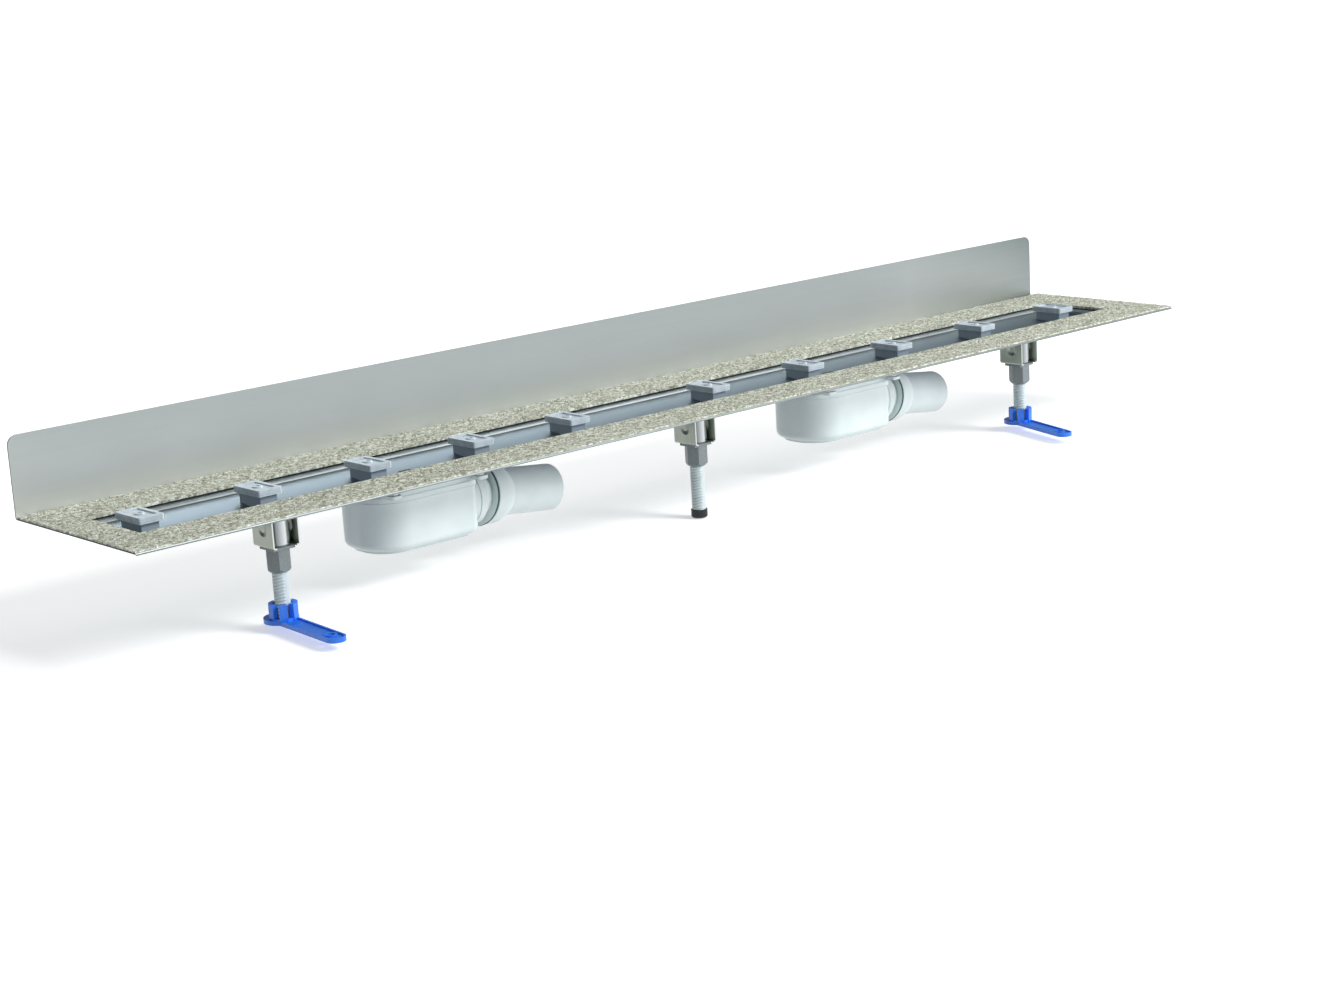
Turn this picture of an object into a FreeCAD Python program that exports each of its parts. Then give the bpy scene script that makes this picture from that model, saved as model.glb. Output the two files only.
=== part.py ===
import FreeCAD
import Part
import math
import os
import re
import Sketcher

# Channel drain that is set against a wall. A folded steel sheet forms the flange and the wall upstand.
# A trough hangs under the slot, clips in it carry the cover, three spindles level the channel, and two
# traps with ball-jointed outlets lead the water away.
# Frame: X along the channel, Y towards the wall, Z up. The origin is at mid length on the back face of
# the upstand, level with the top of the sand coating. Lengths are in millimetres, angles in degrees.

SIZES = {
    # Folded sheet
    "channel_length": 1500.0,
    "flange_width": 223.0,
    "sheet": 1.5,
    "fold_radius": 1.0,
    "wall_height": 78.0,
    "wall_setback": 12.5,
    "wall_corner": 10.0,
    "lip_fold": 1.8,
    "front_lip": 0.4,
    # Sand coating
    "sand_thickness": 1.5,
    "sand_wrap": 1.0,
    # Slot and trough
    "slot_left": 40.0,
    "slot_right": 57.0,
    "slot_front": 62.0,
    "slot_width": 99.6,
    "trough_setback": 3.0,
    "trough_depth": 17.0,
    "ledge_width": 6.0,
    "ledge_top": 5.3,
    "ledge_foot": 8.5,
    "inlet_plate_half": 30.0,
    # Cover clips
    "clip_length": 27.0,
    "clip_width": 45.0,
    "clip_rise": 6.0,
    "clip_plate": 6.5,
    "clip_foot_inset": 4.0,
    "clip_groove": 0.6,
    "clip_frame": 4.5,
    "clip_recess": 1.4,
    "clip_boss_radius": 5.0,
    "clip_hole_radius": 2.4,
    "clip_corner": 2.0,
    "clip_left_inset": 69.0,
    "clip_left_shift": 161.0,
    "clip_right_shift": 45.0,
    "clip_right_inset": 101.0,
    # Brackets
    "bracket_width": 30.0,
    "bracket_depth": 34.0,
    "bracket_drop": 36.0,
    "bracket_gap": 0.5,
    "bracket_notch": 1.6,
    "foot_left_inset": 170.0,
    "foot_middle_shift": 43.0,
    "foot_right_inset": 254.0,
    # Levelling nuts
    "nut_barrel_radius": 12.5,
    "nut_barrel_height": 25.0,
    "nut_neck_radius": 10.6,
    "nut_collar_side": 24.0,
    "nut_collar_height": 2.6,
    "nut_hex_flats": 22.0,
    "nut_hex_height": 22.0,
    "nut_play": 0.3,
    # Spindles
    "rod_radius": 8.7,
    "rod_play": 0.3,
    "rod_top_depth": 24.0,
    "rod_chamfer": 1.2,
    "cap_radius": 8.9,
    "cap_height": 9.0,
    "cap_pocket": 5.0,
    "cap_pin_radius": 6.5,
    "cap_depth": 119.0,
    # Floor feet
    "foot_depth": 111.5,
    "foot_plate": 3.2,
    "foot_rim": 1.4,
    "foot_rim_width": 2.2,
    "foot_disc_radius": 17.0,
    "foot_disc_shift": 5.5,
    "foot_arm_width": 20.0,
    "foot_arm_reach": 103.0,
    "foot_eye_reach": 84.5,
    "foot_eye_radius": 4.4,
    "foot_hub_radius": 13.2,
    "foot_hub_height": 6.0,
    "foot_prong_width": 8.0,
    "foot_prong_depth": 1.0,
    "foot_prong_height": 19.5,
    "foot_left_angle": 3.5,
    "foot_right_angle": 17.0,
    # Traps
    "trap_left_inset": 361.6,
    "trap_right_inset": 526.8,
    "trap_forward": 8.8,
    "trap_length": 125.0,
    "trap_width": 90.0,
    "trap_corner": 40.0,
    "trap_outlet_corner": 9.0,
    "trap_depth": 82.5,
    "trap_wall": 2.5,
    "trap_fillet": 7.5,
    "trap_foot_drop": 3.0,
    "trap_foot_inset": 9.0,
    "trap_seam": 29.0,
    "trap_rim_height": 5.0,
    "trap_rim_proud": 1.2,
    "trap_groove": 0.8,
    "lid_tongue": 3.0,
    "inlet_shift": 11.0,
    "inlet_forward": 10.0,
    "collar_radius": 22.0,
    "collar_depth": 34.0,
    "seal_radius": 24.5,
    "seal_height": 8.0,
    "dip_radius": 20.5,
    "dip_lift": 18.0,
    "cup_radius": 28.0,
    "cup_height": 30.0,
    "cup_lug": 3.0,
    "cup_bevel": 1.5,
    # Trap fixings
    "lug_half": 6.5,
    "lug_thickness": 3.5,
    "lug_corner": 3.0,
    "standoff_front": 6.0,
    "standoff_left": 16.5,
    "standoff_right": 1.5,
    "standoff_flats": 8.0,
    "standoff_bore_depth": 10.0,
    "screw_radius": 2.5,
    "screw_head_radius": 4.2,
    "screw_head_height": 1.6,
    # Ball-jointed outlets
    "outlet_depth": 50.5,
    "outlet_reach": 17.5,
    "outlet_throat": 18.7,
    "ball_radius": 28.0,
    "ball_play": 0.3,
    "ball_tail": 7.0,
    "socket_radius": 29.8,
    "ring_radius": 30.6,
    "ring_lip_radius": 28.9,
    "ring_back": 3.0,
    "ring_front": 5.9,
    "gasket_back": 13.4,
    "gasket_width": 2.6,
    "gasket_radius": 33.4,
    "bell_radius": 32.3,
    "bell_flat": 11.0,
    "bell_length": 31.0,
    "bell_curve": 30.0,
    "pipe_radius": 25.0,
    "pipe_wall": 1.8,
    "pipe_end": 123.0,
    "pipe_chamfer": 1.0,
    "outlet_swing_angle": 11.35,
    "outlet_turn_angle": 44.5,
}

CLIPS_PER_GROUP = 5
PRONGS = 6

doc = FreeCAD.newDocument("channel_drain")
sheet = doc.addObject("Spreadsheet::Sheet", "sizes")
for row, (alias, number) in enumerate(SIZES.items(), start=1):
    sheet.set("A%d" % row, alias)
    sheet.set("B%d" % row, str(number))
    sheet.setAlias("B%d" % row, alias)
doc.recompute()

# Places that several pieces share, worked out from the sizes
LEFT_END = "(-channel_length / 2)"
RIGHT_END = "(channel_length / 2)"
FLANGE_TOP = "(-sand_thickness)"
FLANGE_UNDER = "(-sand_thickness - sheet)"
OUTER_FOLD = "(fold_radius + sheet)"
SLOT_LEFT = f"({LEFT_END} + slot_left)"
SLOT_RIGHT = f"({RIGHT_END} - slot_right)"
SLOT_FRONT = "(slot_front - flange_width)"
SLOT_BACK = f"({SLOT_FRONT} + slot_width)"
SLOT_MIDDLE = f"({SLOT_FRONT} + slot_width / 2)"
TROUGH_FRONT = f"({SLOT_FRONT} - trough_setback)"
TROUGH_BACK = f"({SLOT_BACK} + trough_setback)"
SPINDLE_Y = f"({TROUGH_FRONT} - sheet - bracket_gap - bracket_depth / 2)"
FLOOR_FALL = f"((trough_depth - ledge_foot) / (slot_width + 2 * trough_setback - ledge_width))"
WEB_TOP = "(sheet - bracket_drop)"
TRAP_Y = f"({SLOT_MIDDLE} - trap_forward)"
LID_TOP = "(-trough_depth - sheet - ball_play)"
TROUGH_LEFT = f"({SLOT_LEFT} - trough_setback)"
TROUGH_RIGHT = f"({SLOT_RIGHT} + trough_setback)"
FLOOR_BACK = f"({TROUGH_BACK} - ledge_width)"
TRAPS = {"left": f"({LEFT_END} + trap_left_inset)", "right": f"({RIGHT_END} - trap_right_inset)"}
SPINDLES = {
    "left": f"({LEFT_END} + foot_left_inset)",
    "middle": "(-foot_middle_shift)",
    "right": f"({RIGHT_END} - foot_right_inset)",
}


def floor_at(y):
    """The height of the trough's floor, which falls from the ledge at the back to the front wall."""
    return f"(-trough_depth + ({y} - {TROUGH_FRONT}) * {FLOOR_FALL})"


def rule(text):
    """Turn a rule written with plain size names into an expression on the sheet."""
    return re.sub(r"[a-z_]+", lambda word: ("sizes." if word.group() in SIZES else "") + word.group(), text)


def amount(text):
    """Work out a rule as a plain number."""
    found = sheet.evalExpression(rule(text))
    return float(getattr(found, "Value", found))


def place(item, x="0", y="0", z="0"):
    """Bind an object's position to three rules."""
    for axis, text in (("x", x), ("y", y), ("z", z)):
        item.setExpression("Placement.Base." + axis, rule(text))
    return item


def turned(item, direction, angle):
    """Turn an object about one direction by an angle rule."""
    item.Placement = FreeCAD.Placement(FreeCAD.Vector(), FreeCAD.Rotation(direction, amount(angle)))
    return item


def box(name, length, width, height, x, y, z):
    """A block with its lowest corner at x, y, z."""
    item = doc.addObject("Part::Box", name)
    for side, text in (("Length", length), ("Width", width), ("Height", height)):
        item.setExpression(side, rule(text))
    return place(item, x, y, z)


def cylinder(name, radius, height, x="0", y="0", z="0"):
    """An upright round bar with the middle of its lower face at x, y, z."""
    item = doc.addObject("Part::Cylinder", name)
    item.setExpression("Radius", rule(radius))
    item.setExpression("Height", rule(height))
    return place(item, x, y, z)


def cone(name, low_radius, high_radius, height, x="0", y="0", z="0"):
    """An upright cone or taper with the middle of its lower face at x, y, z."""
    item = doc.addObject("Part::Cone", name)
    item.setExpression("Radius1", rule(low_radius))
    item.setExpression("Radius2", rule(high_radius))
    item.setExpression("Height", rule(height))
    return place(item, x, y, z)


def hexagon(name, flats, height, x="0", y="0", z="0"):
    """An upright six-sided bar, given by the distance across its flats."""
    item = doc.addObject("Part::Prism", name)
    item.Polygon = 6
    item.setExpression("Circumradius", rule(f"{flats} / sqrt(3)"))
    item.setExpression("Height", rule(height))
    return place(item, x, y, z)


def fuse(name, pieces):
    """Join pieces into one."""
    item = doc.addObject("Part::MultiFuse", name)
    item.Shapes = pieces
    item.Refine = True
    return item


def common(name, pieces):
    """Keep what the pieces share."""
    item = doc.addObject("Part::MultiCommon", name)
    item.Shapes = pieces
    return item


def cut(name, base, tool):
    """Take a tool out of a base."""
    item = doc.addObject("Part::Cut", name)
    item.Base = base
    item.Tool = tool
    item.Refine = True
    return item


def new_body(name):
    """A body whose label names its node."""
    item = doc.addObject("PartDesign::Body", name)
    item.Label = name
    return item


def new_sketch(body, name, role, offset="0"):
    """An empty sketch on one of the body's own planes, moved along the plane's normal."""
    item = body.newObject("Sketcher::SketchObject", name)
    planes = [feature for feature in body.Origin.OriginFeatures if feature.Role == role]
    item.AttachmentSupport = [(planes[0], "")]
    item.MapMode = "FlatFace"
    item.setExpression("AttachmentOffset.Base.z", rule(offset))
    return item


def arc_between(start, end, radius):
    """A short arc from start to end. It bulges to the right, or to the left if the radius is negative."""
    chord = end - start
    half = chord.Length / 2
    rise = abs(radius) - math.sqrt(max(radius * radius - half * half, 0.0))
    side = FreeCAD.Vector(chord.y, -chord.x, 0).normalize() * math.copysign(rise, radius)
    return Part.Arc(start, start + chord / 2 + side, end)


def draw_outline(sketch, corners):
    """A closed outline. Each corner is (x, y), or (x, y, radius) where an arc leads to the next corner."""
    points = [FreeCAD.Vector(amount(corner[0]), amount(corner[1]), 0) for corner in corners]
    first = sketch.GeometryCount
    total = len(corners)
    for index, corner in enumerate(corners):
        following = points[(index + 1) % total]
        if len(corner) == 3:
            sketch.addGeometry(arc_between(points[index], following, amount(corner[2])), False)
        else:
            sketch.addGeometry(Part.LineSegment(points[index], following), False)
    ends = [edge_ends(sketch, first + index, points[index]) for index in range(total)]
    for index in range(total):
        after = (index + 1) % total
        link = Sketcher.Constraint("Coincident", first + index, ends[index][1], first + after, ends[after][0])
        sketch.addConstraint(link)
    for index, corner in enumerate(corners):
        for kind, text in (("DistanceX", corner[0]), ("DistanceY", corner[1])):
            number = sketch.addConstraint(
                Sketcher.Constraint(kind, -1, 1, first + index, ends[index][0], amount(text)))
            sketch.setExpression("Constraints[%d]" % number, rule(text))
        if len(corner) == 3:
            number = sketch.addConstraint(Sketcher.Constraint("Radius", first + index, abs(amount(corner[2]))))
            sketch.setExpression("Constraints[%d]" % number, rule(f"abs({corner[2]})"))
    return sketch


def close(one, other):
    """Whether two numbers are the same within a hundredth of a millimetre."""
    return abs(one - other) < 0.01


def edge_ends(sketch, edge, start):
    """Which end of an edge, as the sketch numbers them, is its start and which its end."""
    first_point = sketch.getPoint(edge, 1)
    return (1, 2) if close((first_point - start).Length, 0) else (2, 1)


def draw_circle(sketch, x, y, radius):
    """A circle with a bound centre and radius."""
    number = sketch.addGeometry(Part.Circle(FreeCAD.Vector(amount(x), amount(y), 0),
                                            FreeCAD.Vector(0, 0, 1), amount(radius)), False)
    for kind, text in (("DistanceX", x), ("DistanceY", y)):
        held = sketch.addConstraint(Sketcher.Constraint(kind, -1, 1, number, 3, amount(text)))
        sketch.setExpression("Constraints[%d]" % held, rule(text))
    held = sketch.addConstraint(Sketcher.Constraint("Radius", number, amount(radius)))
    sketch.setExpression("Constraints[%d]" % held, rule(radius))
    return sketch


def rectangle(low_x, high_x, low_y, high_y):
    """The four corners of an upright rectangle."""
    return [(low_x, low_y), (high_x, low_y), (high_x, high_y), (low_x, high_y)]


def rounded(low_x, high_x, low_y, high_y, radius):
    """The corners of a rectangle whose corners are arcs."""
    return [
        (f"{low_x} + {radius}", low_y), (f"{high_x} - {radius}", low_y, radius),
        (high_x, f"{low_y} + {radius}"), (high_x, f"{high_y} - {radius}", radius),
        (f"{high_x} - {radius}", high_y), (f"{low_x} + {radius}", high_y, radius),
        (low_x, f"{high_y} - {radius}"), (low_x, f"{low_y} + {radius}", radius),
    ]


def pad(body, sketch, length):
    """Add material from the sketch along its plane's normal."""
    item = body.newObject("PartDesign::Pad", sketch.Name + "_pad")
    item.Profile = sketch
    item.setExpression("Length", rule(length))
    return item


def pocket(body, sketch, length, forward=False):
    """Take material away from the sketch, against its plane's normal or along it."""
    item = body.newObject("PartDesign::Pocket", sketch.Name + "_pocket")
    item.Profile = sketch
    item.Reversed = forward
    item.setExpression("Length", rule(length))
    return item


def revolve(body, sketch):
    """Turn the sketch a full turn about its own horizontal axis."""
    item = body.newObject("PartDesign::Revolution", sketch.Name + "_turned")
    item.Profile = sketch
    item.ReferenceAxis = (sketch, ["H_Axis"])
    item.Angle = 360
    return item


def edge_names(shape, wanted):
    """The names of the edges that pass a test on their box."""
    return ["Edge%d" % (index + 1) for index, edge in enumerate(shape.Edges) if wanted(edge.BoundBox)]


def dress(body, kind, size, wanted):
    """Round or bevel the edges of the body's last feature that pass a test."""
    doc.recompute()
    base = body.Tip
    item = body.newObject(kind, body.Name + "_" + kind.split("::")[1].lower() + str(len(body.Group)))
    item.Base = (base, edge_names(base.Shape, wanted))
    item.setExpression("Radius" if kind.endswith("Fillet") else "Size", rule(size))
    return item


parts = []


def keep(item, name=None):
    """List an object as a sub-part; its label names the exported file."""
    if name:
        item.Label = name
    parts.append(item)
    return item


# Channel body: one folded sheet with the slot cut in its flange
def make_channel():
    body = new_body("channel_body")
    section = draw_outline(new_sketch(body, "sheet_section", "YZ_Plane", LEFT_END), [
        ("0", "wall_height"), ("-sheet", "wall_height"),
        ("-sheet", f"{FLANGE_TOP} + fold_radius", "fold_radius"),
        ("-sheet - fold_radius", FLANGE_TOP),
        ("-flange_width + lip_fold", FLANGE_TOP, "-lip_fold"),
        ("-flange_width", f"{FLANGE_TOP} - lip_fold"),
        ("-flange_width", f"{FLANGE_UNDER} - lip_fold + sheet - front_lip"),
        ("-flange_width + sheet", f"{FLANGE_UNDER} - lip_fold + sheet - front_lip"),
        ("-flange_width + sheet", f"{FLANGE_UNDER} - lip_fold + sheet", "lip_fold - sheet"),
        ("-flange_width + lip_fold", FLANGE_UNDER),
        (f"-{OUTER_FOLD}", FLANGE_UNDER, OUTER_FOLD),
        ("0", f"{FLANGE_UNDER} + {OUTER_FOLD}"),
    ])
    pad(body, section, "channel_length")
    notch = draw_outline(new_sketch(body, "wall_notch", "XZ_Plane"), rectangle(
        f"{RIGHT_END} - wall_setback", f"{RIGHT_END} + sheet", FLANGE_TOP, "wall_height + sheet"))
    pocket(body, notch, "sheet", forward=True)
    dress(body, "PartDesign::Fillet", "wall_corner",
          lambda at: close(at.ZMin, at.ZMax) and close(at.ZMax, amount("wall_height")) and close(at.XLength, 0))
    slot = draw_outline(new_sketch(body, "slot_cut", "XY_Plane", FLANGE_TOP), rectangle(
        f"{SLOT_LEFT} - sand_wrap", f"{SLOT_RIGHT} + sand_wrap",
        f"{SLOT_FRONT} - sand_wrap", f"{SLOT_BACK} + sand_wrap"))
    pocket(body, slot, "sheet")

    return keep(body)


# Trough: sheet plates welded to a pan under the slot; its floor falls from the back ledge to the front wall
def make_trough_plate(name, outline, start, end):
    """A plate of the trough: an outline across the channel, from one X to another."""
    body = new_body(name)
    section = draw_outline(new_sketch(body, name + "_section", "YZ_Plane", start), outline)
    pad(body, section, f"{end} - {start}")
    return body


def make_trough():
    outer_left = f"({TROUGH_LEFT} - sheet)"
    outer_right = f"({TROUGH_RIGHT} + sheet)"
    ledge_slope = "((ledge_foot - ledge_top) / ledge_width)"
    front_outline = rectangle(f"{TROUGH_FRONT} - sheet", TROUGH_FRONT, "-trough_depth - sheet", FLANGE_UNDER)
    keep(make_trough_plate("trough_front", front_outline, outer_left, outer_right))
    keep(make_trough_plate("trough_back", [
        (FLOOR_BACK, "-ledge_foot"), (TROUGH_BACK, "-ledge_top"), (TROUGH_BACK, FLANGE_UNDER),
        (f"{TROUGH_BACK} + sheet", FLANGE_UNDER),
        (f"{TROUGH_BACK} + sheet", f"-ledge_top - sheet + sheet * {ledge_slope}"),
        (FLOOR_BACK, "-ledge_foot - sheet"),
    ], outer_left, outer_right))
    end_outline = [
        (TROUGH_FRONT, FLANGE_UNDER), (TROUGH_FRONT, "-trough_depth - sheet"),
        (FLOOR_BACK, "-ledge_foot - sheet"), (FLOOR_BACK, "-ledge_foot"),
        (TROUGH_BACK, "-ledge_top"), (TROUGH_BACK, FLANGE_UNDER),
    ]
    floor_outline = [
        (TROUGH_FRONT, "-trough_depth"), (TROUGH_FRONT, "-trough_depth - sheet"),
        (FLOOR_BACK, "-ledge_foot - sheet"), (FLOOR_BACK, "-ledge_foot"),
    ]
    starts = {}
    ends = {}
    for side, middle in TRAPS.items():
        starts[side] = f"({middle} + inlet_shift - inlet_plate_half)"
        ends[side] = f"({middle} + inlet_shift + inlet_plate_half)"
        plate = make_trough_plate(f"inlet_plate_{side}", floor_outline, starts[side], ends[side])
        hole = new_sketch(plate, f"inlet_hole_{side}", "XY_Plane", "-ledge_foot")
        draw_circle(hole, f"{middle} + inlet_shift", f"{TRAP_Y} - inlet_forward", "collar_radius - sheet")
        pocket(plate, hole, "collar_depth - ledge_foot")
        keep(plate)
    keep(make_trough_plate("trough_floor_left", floor_outline, TROUGH_LEFT, starts["left"]))
    keep(make_trough_plate("trough_floor_middle", floor_outline, ends["left"], starts["right"]))
    keep(make_trough_plate("trough_floor_right", floor_outline, ends["right"], TROUGH_RIGHT))
    keep(make_trough_plate("trough_end_left", end_outline, outer_left, TROUGH_LEFT))
    keep(make_trough_plate("trough_end_right", end_outline, TROUGH_RIGHT, outer_right))


def make_collar(name, x):
    """A short tube welded under an inlet plate's hole; its upper end follows the floor's slope."""
    body = new_body(name)
    tube = new_sketch(body, name + "_tube", "XY_Plane", "-collar_depth")
    draw_circle(tube, "0", "0", "collar_radius")
    draw_circle(tube, "0", "0", "collar_radius - sheet")
    pad(body, tube, "collar_depth - ledge_foot")
    trim = draw_outline(new_sketch(body, name + "_trim", "YZ_Plane", "-collar_radius"), [
        (f"{y} - ({TRAP_Y} - inlet_forward)", z) for y, z in (
            (TROUGH_FRONT, FLANGE_UNDER), (TROUGH_FRONT, "-trough_depth - sheet"),
            (FLOOR_BACK, "-ledge_foot - sheet"), (FLOOR_BACK, FLANGE_UNDER))])
    pocket(body, trim, "2 * collar_radius", forward=True)
    place(body, f"{x} + inlet_shift", f"{TRAP_Y} - inlet_forward")
    return keep(body)


# Sand coating: grit bonded to the flange, turned down over the slot's edge
def make_sand():
    body = new_body("sand_coating")
    layer = new_sketch(body, "sand_layer", "XY_Plane", FLANGE_TOP)
    draw_outline(layer, rectangle(LEFT_END, RIGHT_END, "-flange_width + lip_fold", "-sheet - fold_radius"))
    draw_outline(layer, rectangle(SLOT_LEFT, SLOT_RIGHT, SLOT_FRONT, SLOT_BACK))
    pad(body, layer, "sand_thickness")
    turned_down = new_sketch(body, "sand_edge", "XY_Plane", FLANGE_UNDER)
    draw_outline(turned_down, rectangle(
        f"{SLOT_LEFT} - sand_wrap", f"{SLOT_RIGHT} + sand_wrap",
        f"{SLOT_FRONT} - sand_wrap", f"{SLOT_BACK} + sand_wrap"))
    draw_outline(turned_down, rectangle(SLOT_LEFT, SLOT_RIGHT, SLOT_FRONT, SLOT_BACK))
    pad(body, turned_down, "sheet")
    return keep(body)


# Cover clips: moulded blocks that stand on the trough's floor
def make_clip(name, x):
    body = new_body(name)
    half_length = "clip_length / 2"
    half_width = "clip_width / 2"
    under = "clip_rise - clip_plate"
    front = f"(clip_foot_inset - {half_width})"
    back = f"({half_width} - clip_foot_inset)"
    foot = draw_outline(new_sketch(body, name + "_foot", "YZ_Plane", f"clip_foot_inset - {half_length}"), [
        (front, under), (front, floor_at(f"{SLOT_MIDDLE} + {front}")),
        (back, floor_at(f"{SLOT_MIDDLE} + {back}")), (back, under),
    ])
    pad(body, foot, "clip_length - 2 * clip_foot_inset")
    plate = draw_outline(new_sketch(body, name + "_plate", "XY_Plane", under), rounded(
        f"(-{half_length})", f"({half_length})", f"(-{half_width})", f"({half_width})", "clip_corner"))
    pad(body, plate, "clip_plate")
    for step in (1, 2):
        groove = new_sketch(body, f"{name}_groove_{step}", "XY_Plane", f"{under} + clip_plate * {step} / 3")
        draw_outline(groove, rectangle(f"-{half_length} - clip_groove", f"{half_length} + clip_groove",
                                       f"-{half_width} - clip_groove", f"{half_width} + clip_groove"))
        draw_outline(groove, rounded(
            f"(clip_groove - {half_length})", f"({half_length} - clip_groove)",
            f"(clip_groove - {half_width})", f"({half_width} - clip_groove)", "clip_corner"))
        pocket(body, groove, "clip_groove")
    recess = draw_outline(new_sketch(body, name + "_recess", "XY_Plane", "clip_rise"), rectangle(
        f"clip_frame - {half_length}", f"{half_length} - clip_frame",
        f"clip_frame - {half_width}", f"{half_width} - clip_frame"))
    draw_circle(recess, "0", "0", "clip_boss_radius")
    pocket(body, recess, "clip_recess")
    hole = draw_circle(new_sketch(body, name + "_hole", "XY_Plane", "clip_rise"), "0", "0", "clip_hole_radius")
    pocket(body, hole, "clip_plate")
    place(body, x, SLOT_MIDDLE)
    return keep(body)


# Brackets: folded steel channels welded under the flange; the slotted web holds the nut's neck
def make_bracket(name, x):
    body = new_body(name)
    half = "bracket_width / 2"
    section = draw_outline(new_sketch(body, name + "_section", "XZ_Plane", "-bracket_depth / 2"), [
        (f"-{half}", FLANGE_UNDER), (f"-{half}", f"-bracket_drop + {OUTER_FOLD}", OUTER_FOLD),
        (f"-{half} + {OUTER_FOLD}", "-bracket_drop"), (f"{half} - {OUTER_FOLD}", "-bracket_drop", OUTER_FOLD),
        (half, f"-bracket_drop + {OUTER_FOLD}"), (half, FLANGE_UNDER), (f"{half} - sheet", FLANGE_UNDER),
        (f"{half} - sheet", f"{WEB_TOP} + fold_radius", "-fold_radius"),
        (f"{half} - sheet - fold_radius", WEB_TOP),
        (f"-{half} + sheet + fold_radius", WEB_TOP, "-fold_radius"),
        (f"-{half} + sheet", f"{WEB_TOP} + fold_radius"), (f"-{half} + sheet", FLANGE_UNDER),
    ])
    pad(body, section, "bracket_depth")
    opening = "nut_neck_radius + nut_play"
    slot = draw_outline(new_sketch(body, name + "_slot", "XY_Plane", WEB_TOP), [
        (f"-({opening})", "-bracket_depth"), (opening, "-bracket_depth"), (opening, "0", opening),
        ("0", opening, opening), (f"-({opening})", "0"),
    ])
    pocket(body, slot, "sheet")
    notch = draw_circle(new_sketch(body, name + "_notch", "YZ_Plane", f"-{half}"),
                        "bracket_notch * 2 - bracket_depth / 2 + bracket_notch", FLANGE_UNDER, "bracket_notch")
    pocket(body, notch, "bracket_width", forward=True)
    place(body, x, SPINDLE_Y)
    return keep(body)


# Levelling nuts: a barrel over the web, a square collar under it and a hexagon for the spanner
def make_nut(name, x):
    collar_top = "(-bracket_drop - nut_play)"
    hex_top = f"({collar_top} - nut_collar_height)"
    hex_under = f"({hex_top} - nut_hex_height)"
    barrel_under = f"({WEB_TOP} + nut_play)"
    barrel = cylinder(name + "_barrel", "nut_barrel_radius", "nut_barrel_height", z=barrel_under)
    neck = cylinder(name + "_neck", "nut_neck_radius", f"{barrel_under} - {hex_top}", z=hex_top)
    collar = box(name + "_collar", "nut_collar_side", "nut_collar_side", "nut_collar_height",
                 "-nut_collar_side / 2", "-nut_collar_side / 2", hex_top)
    blank = hexagon(name + "_hexagon", "nut_hex_flats", "nut_hex_height", z=hex_under)
    taper = cone(name + "_taper", "nut_hex_flats / 2 - rod_chamfer", "nut_hex_flats / 2 + nut_hex_height",
                 "nut_hex_height + rod_chamfer", z=hex_under)
    bevelled = common(name + "_bevelled", [blank, taper])
    solid = fuse(name + "_solid", [barrel, neck, collar, bevelled])
    bore = cylinder(name + "_bore", "rod_radius + rod_play",
                    f"nut_barrel_height + {barrel_under} - {hex_under}", z=hex_under)
    nut = cut(name, solid, bore)
    place(nut, x, SPINDLE_Y)
    return keep(nut, name)


# Spindles: moulded threaded rods; the thread's crests are the rod's radius
def make_rod(name, x, bottom, pinned):
    body = new_body(name)
    profile = [
        (bottom, "0"), (bottom, "rod_radius - rod_chamfer"), (f"{bottom} + rod_chamfer", "rod_radius"),
        ("-rod_top_depth - rod_chamfer", "rod_radius"), ("-rod_top_depth", "rod_radius - rod_chamfer"),
        ("-rod_top_depth", "0"),
    ]
    if pinned:
        profile[0:2] = [
            (f"{bottom} - cap_pocket", "0"), (f"{bottom} - cap_pocket", "cap_pin_radius"),
            (bottom, "cap_pin_radius"), (bottom, "rod_radius - rod_chamfer"),
        ]
    revolve(body, draw_outline(new_sketch(body, name + "_profile", "XZ_Plane"), profile))
    turned(body, FreeCAD.Vector(0, 1, 0), "-90")
    place(body, x, SPINDLE_Y)
    return keep(body)


def make_cap(name, x):
    """A rubber cap pushed over the end of a spindle that stands on the bare floor."""
    body = new_body(name)
    under = "(-cap_depth)"
    top = "(cap_height - cap_depth)"
    revolve(body, draw_outline(new_sketch(body, name + "_profile", "XZ_Plane"), [
        (under, "0"), (under, "cap_radius - rod_chamfer"), (f"{under} + rod_chamfer", "cap_radius"),
        (top, "cap_radius"), (top, "cap_pin_radius"), (f"{top} - cap_pocket", "cap_pin_radius"),
        (f"{top} - cap_pocket", "0"),
    ]))
    turned(body, FreeCAD.Vector(0, 1, 0), "-90")
    place(body, x, SPINDLE_Y)
    return keep(body)


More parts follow.
